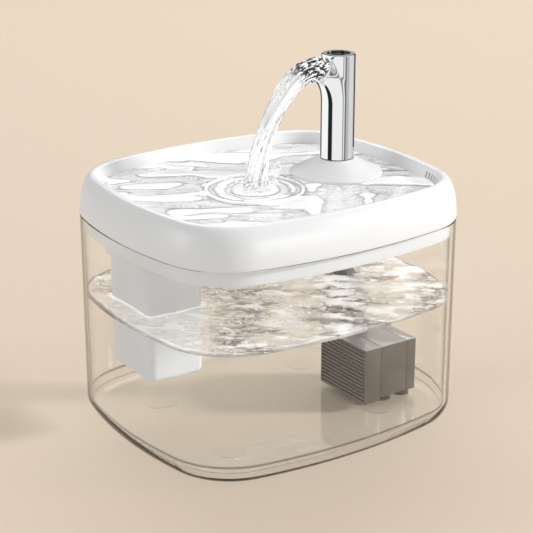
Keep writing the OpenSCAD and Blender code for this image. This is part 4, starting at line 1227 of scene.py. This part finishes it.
# The middle of the jet as (x, z) in millimetres, from inside the spout to the basin's water
JET_LINE = [
    (44.0, 202.5), (40.0, 204.8), (35.3, 206.3), (24.7, 204.7), (17.0, 199.8), (11.5, 193.6), (6.7, 186.6),
    (1.8, 178.5), (-1.6, 171.3), (-4.4, 163.5), (-6.5, 155.5), (-7.6, 148.0), (-8.4, 141.5),
]


def smooth_line(points, steps):
    """A Catmull-Rom curve through the points."""
    pts = [np.array(p, float) for p in points]
    pts = [2 * pts[0] - pts[1]] + pts + [2 * pts[-1] - pts[-2]]
    out = []
    for i in range(1, len(pts) - 2):
        a, b, c, d = pts[i - 1 : i + 3]
        for k in range(steps):
            t = k / steps
            out.append(0.5 * (2 * b + (c - a) * t + (2 * a - 5 * b + 4 * c - d) * t**2
                              + (3 * b - a - 3 * c + d) * t**3))
    out.append(pts[-2])
    return out


def make_jet():
    """The jet that leaves the spout and falls into the basin, in strands that run along it, with painted
    dark lines between them.
    """
    path = [np.array([x * MM, 0.0, z * MM]) for x, z in smooth_line(JET_LINE, 14)]
    segments = 224
    rings, crests, painted_dark_lines = [], [], []
    total = len(path) - 1
    for i, p in enumerate(path):
        ahead = path[min(i + 1, total)] - path[max(i - 1, 0)]
        ahead /= np.linalg.norm(ahead)
        up = np.cross(Y_AXIS, ahead)
        # s goes from 0 in the spout to 1 in the basin, and the next four say what the jet is like there
        s = i / total
        free = step(s, 0.1, 0.1)
        broken = step(s, 0.06, 0.06) * (1 - step(s, 0.29, 0.10))
        foot = step(s, 0.93, 0.14)
        full = step(s, 0.12, 0.10) * (1 - step(s, 0.55, 0.5))
        half = (6.2 - 0.6 * step(s, 0.5, 0.6) + 1.0 * full + 0.3 * sin(9 * s) + 1.6 * foot) * MM
        flat = 1.0 - 0.22 * sin(pi * min(1, s * 1.2))
        ring = []
        for k in range(segments):
            a = 2 * pi * k / segments
            c, d = cos(a), sin(a)
            twist = a + 0.8 * s
            along = noise_at(2.1 * cos(twist), 2.1 * sin(twist), 1.9 * s, 0.9, 2.1, 2)
            lump = noise_at(1.5 * c, 1.5 * d, 9 * s, 0.8, 2.0, 3)
            speck = noise_at(5 * c, 5 * d, 55 * s, 0.7, 2.0, 2)
            grow = 1 + free * (0.14 * along + 0.10 * lump + 0.14 * broken * speck) + 0.3 * foot * speck
            ring.append(tuple(p + half * grow * (c * Y_AXIS + flat * d * up)))
            # Painted dark lines along the strands, white elsewhere, partly aerated water and partly
            # painted highlight
            dark = line(along, 0.02, 0.04) + 0.9 * line(along, -0.28, 0.04) + 0.8 * line(along, 0.3, 0.04)
            white = 1.0 - 0.35 * min(1.0, dark)
            flecks = step(speck, 0.05, 0.12)
            mixed = max(broken, 0.7 * foot)
            crests.append(white * (1 - mixed) + mixed * flecks)
            painted_dark_lines.append(0.85 * dark * (1 - mixed) + mixed * (1 - flecks) * (1.3 - 0.9 * foot))
        rings.append(ring)
    jet = loft("jet", rings, smooth_deg=180)
    add_marks(jet, crests, painted_dark_lines, [0.0] * len(painted_dark_lines))
    dress(jet, "faucet", "water", material="jet_water")


def make_splash():
    """Drops that the jet throws up around its foot."""
    count = 46
    rng = random.Random(11)
    bm = bmesh.new()
    for _ in range(count):
        angle = rng.uniform(0, 2 * pi)
        spread = 5.5 + abs(rng.gauss(0, 4.5))
        rise = max(0.4, rng.gauss(4.5, 4.0) * 8 / (spread + 3))
        size = rng.uniform(0.35, 1.15)
        place = Matrix.Translation((JET_FOOT[0] + spread * MM * cos(angle),
                                    JET_FOOT[1] + spread * MM * sin(angle),
                                    BASIN_WATER_Z + rise * MM))
        stretch = Matrix.Diagonal((size * MM, size * MM, size * rng.uniform(1.0, 1.7) * MM, 1))
        bmesh.ops.create_icosphere(bm, subdivisions=2, radius=1.0, matrix=place @ stretch)
    mesh = bpy.data.meshes.new("splash")
    bm.to_mesh(mesh)
    bm.free()
    splash = add_object("splash", mesh)
    shade(splash, 180)
    drops = len(mesh.vertices)
    # The drops are a little white, partly froth and partly painted highlight with a faint painted glow
    add_marks(splash, [0.35] * drops, [0.0] * drops, [0.0] * drops)
    dress(splash, "tray", "water", material="jet_water")


# ---- Light, floor and camera ----
def aim(obj, target, azimuth, elevation, distance, front="Z", up="Y"):
    """Puts an object at a direction and distance from a target, with its front away from it."""
    a, e = radians(azimuth), radians(elevation)
    away = Vector((cos(a) * cos(e), sin(a) * cos(e), sin(e)))
    obj.location = Vector(target) + distance * away
    obj.rotation_euler = away.to_track_quat(front, up).to_euler()


def area_light(name, azimuth, elevation, distance, size, power):
    light = bpy.data.lights.new(name, "AREA")
    light.shape = "RECTANGLE"
    light.size, light.size_y = size
    light.energy = power
    aim(add_object(name, light), (0, 0, 0.1), azimuth, elevation, distance)


def make_lights():
    area_light("key", -33, 22, 9.1, (1.26, 1.26), 588.0)
    area_light("front_low", -72, 6, 9.1, (4.2, 1.75), 159.0)
    area_light("left_fill", 165, 12, 6.0, (3.6, 2.7), 90.0)
    area_light("back", 60, 50, 2.8, (2.4, 1.4), 18.0)


def floor_finish(shader):
    """Warm to look at, and nearly grey in the light that it throws back."""
    path = put(shader.id_data, "LightPath")
    tones = [(0.0, (0.84, 0.705, 0.56)), (1.0, (0.66, 0.645, 0.63))]
    feed(shader, Base_Color=ramp(path.outputs["Is Diffuse Ray"], tones), Roughness=0.9,
         Specular_IOR_Level=0.0)


def make_floor():
    reach, thickness, below = 9, 0.02, 0.3 * MM
    floor = box_object("floor", (-reach, -reach, -thickness), (reach, reach, -below))
    floor.data.materials.append(make_material("floor", floor_finish))


def make_world():
    """Soft grey light from all round, and a backdrop that the camera sees, also through glass."""
    world = bpy.data.worlds.new("studio")
    bpy.context.scene.world = world
    world.use_nodes = True
    tree = world.node_tree
    upward = put(tree, "SeparateXYZ", Vector=put(tree, "TexCoord").outputs["Generated"]).outputs["Z"]
    sky = ramp(upward, [(0.0, (0.50, 0.49, 0.48)), (0.28, grey(0.42)), (0.5, grey(0.8)), (1.0, grey(0.9))])
    light = tree.nodes["Background"]
    feed(light, Color=sky, Strength=0.56)
    backdrop = put(tree, "Background", Color=(0.72, 0.62, 0.51))
    path = put(tree, "LightPath")
    # The backdrop sends no light through the clear parts on to dull surfaces
    not_as_light = join("LESS_THAN", path.outputs["Diffuse Depth"], 0.5)
    through_glass = join("MULTIPLY", path.outputs["Is Transmission Ray"], not_as_light)
    seen = join("MAXIMUM", path.outputs["Is Camera Ray"], through_glass)
    surface = mix_shaders(seen, light.outputs["Background"], backdrop.outputs["Background"])
    feed(tree.nodes["World Output"], Surface=surface)


def mirror_only(obj, fill, hidden_from):
    """Stage that only mirror reflections see, with a material that glows."""
    obj.data.materials.append(make_material(obj.name, fill))
    for ray in hidden_from:
        setattr(obj, "visible_" + ray, False)


# Strips around the chrome: where each starts, as an azimuth in degrees, and how bright it is
CHROME_STRIPS = [
    (-180, 0.02), (-158, 0.9), (-97, 0.22), (-92, 0.8), (-84, 0.16), (-75, 0.5), (-55, 0.72), (-20, 0.6),
    (-7, 0.04), (24, 0.4), (84, 0.08), (112, 1.0), (174, 0.02),
]


def strips(shader):
    """Strips whose glow faces the chrome, each of one brightness up to a narrow edge."""
    tree = shader.id_data
    edge = 1.2
    ends = [start for start, level in CHROME_STRIPS[1:]] + [180]
    stops = []
    for (start, level), end in zip(CHROME_STRIPS, ends):
        stops += [((azimuth + 180) / 360, grey(level)) for azimuth in (start + edge, end - edge)]
    around = put(tree, "TexGradient", {"gradient_type": "RADIAL"}, Vector=object_place(tree))
    glow = put(tree, "Emission", Color=ramp(around.outputs["Fac"], stops))
    clear = put(tree, "BsdfTransparent")
    behind = put(tree, "NewGeometry").outputs["Backfacing"]
    surface = mix_shaders(behind, glow.outputs["Emission"], clear.outputs["BSDF"])
    feed(tree.nodes["Material Output"], Surface=surface)


def make_light_tent():
    """A tent of white and dark strips around the tap's axis, tall enough for the lifted tray."""
    radius, above = 40 * MM, 206 * MM
    rings = [circle((0, 0), radius, z, 96) for z in (BASIN_WATER_Z, TAP_HIGH[2] + above)]
    tent = loft("light_tent", rings, capped=False, smooth_deg=180)
    tent.location.x = TAP_X
    tent.data.flip_normals()
    mirror_only(tent, strips, ("camera", "diffuse", "transmission", "shadow", "volume_scatter"))


def bright(shader):
    glow = put(shader.id_data, "Emission", Strength=4.5)
    feed(shader.id_data.nodes["Material Output"], Surface=glow.outputs["Emission"])


def make_glint_card():
    """A bright card behind the fountain, which the water mirrors."""
    card = box_object("glint_card", (-0.75, -0.01, -0.28), (0.75, 0.0, 0.28))
    aim(card, (0, 0, BASIN_WATER_Z), 53, 43, 1.3, front="Y", up="Z")
    mirror_only(card, bright, ("camera", "diffuse", "shadow"))


def make_camera():
    camera = bpy.data.cameras.new("camera")
    camera.sensor_width = 36
    camera.lens = 102.68
    obj = add_object("camera", camera)
    obj.location = (-0.47506, -0.69895, 0.39414)
    ahead = Vector((-0.0004, 0.0003, 0.0917)) - obj.location
    obj.rotation_euler = ahead.to_track_quat("-Z", "Y").to_euler()
    bpy.context.scene.camera = obj


dress_nodes()
make_tank()
make_pads()
make_tray()
make_socket()
make_filter_box()
make_tap()
make_cap()
make_base()
make_hose()
make_pump()
make_intake()
make_basin_water()
make_tank_water()
make_jet()
make_splash()
make_floor()
make_world()
make_lights()
make_glint_card()
make_light_tent()
make_camera()

scene = bpy.context.scene
scene.view_settings.view_transform = "Standard"
scene.cycles.transparent_max_bounces = 24
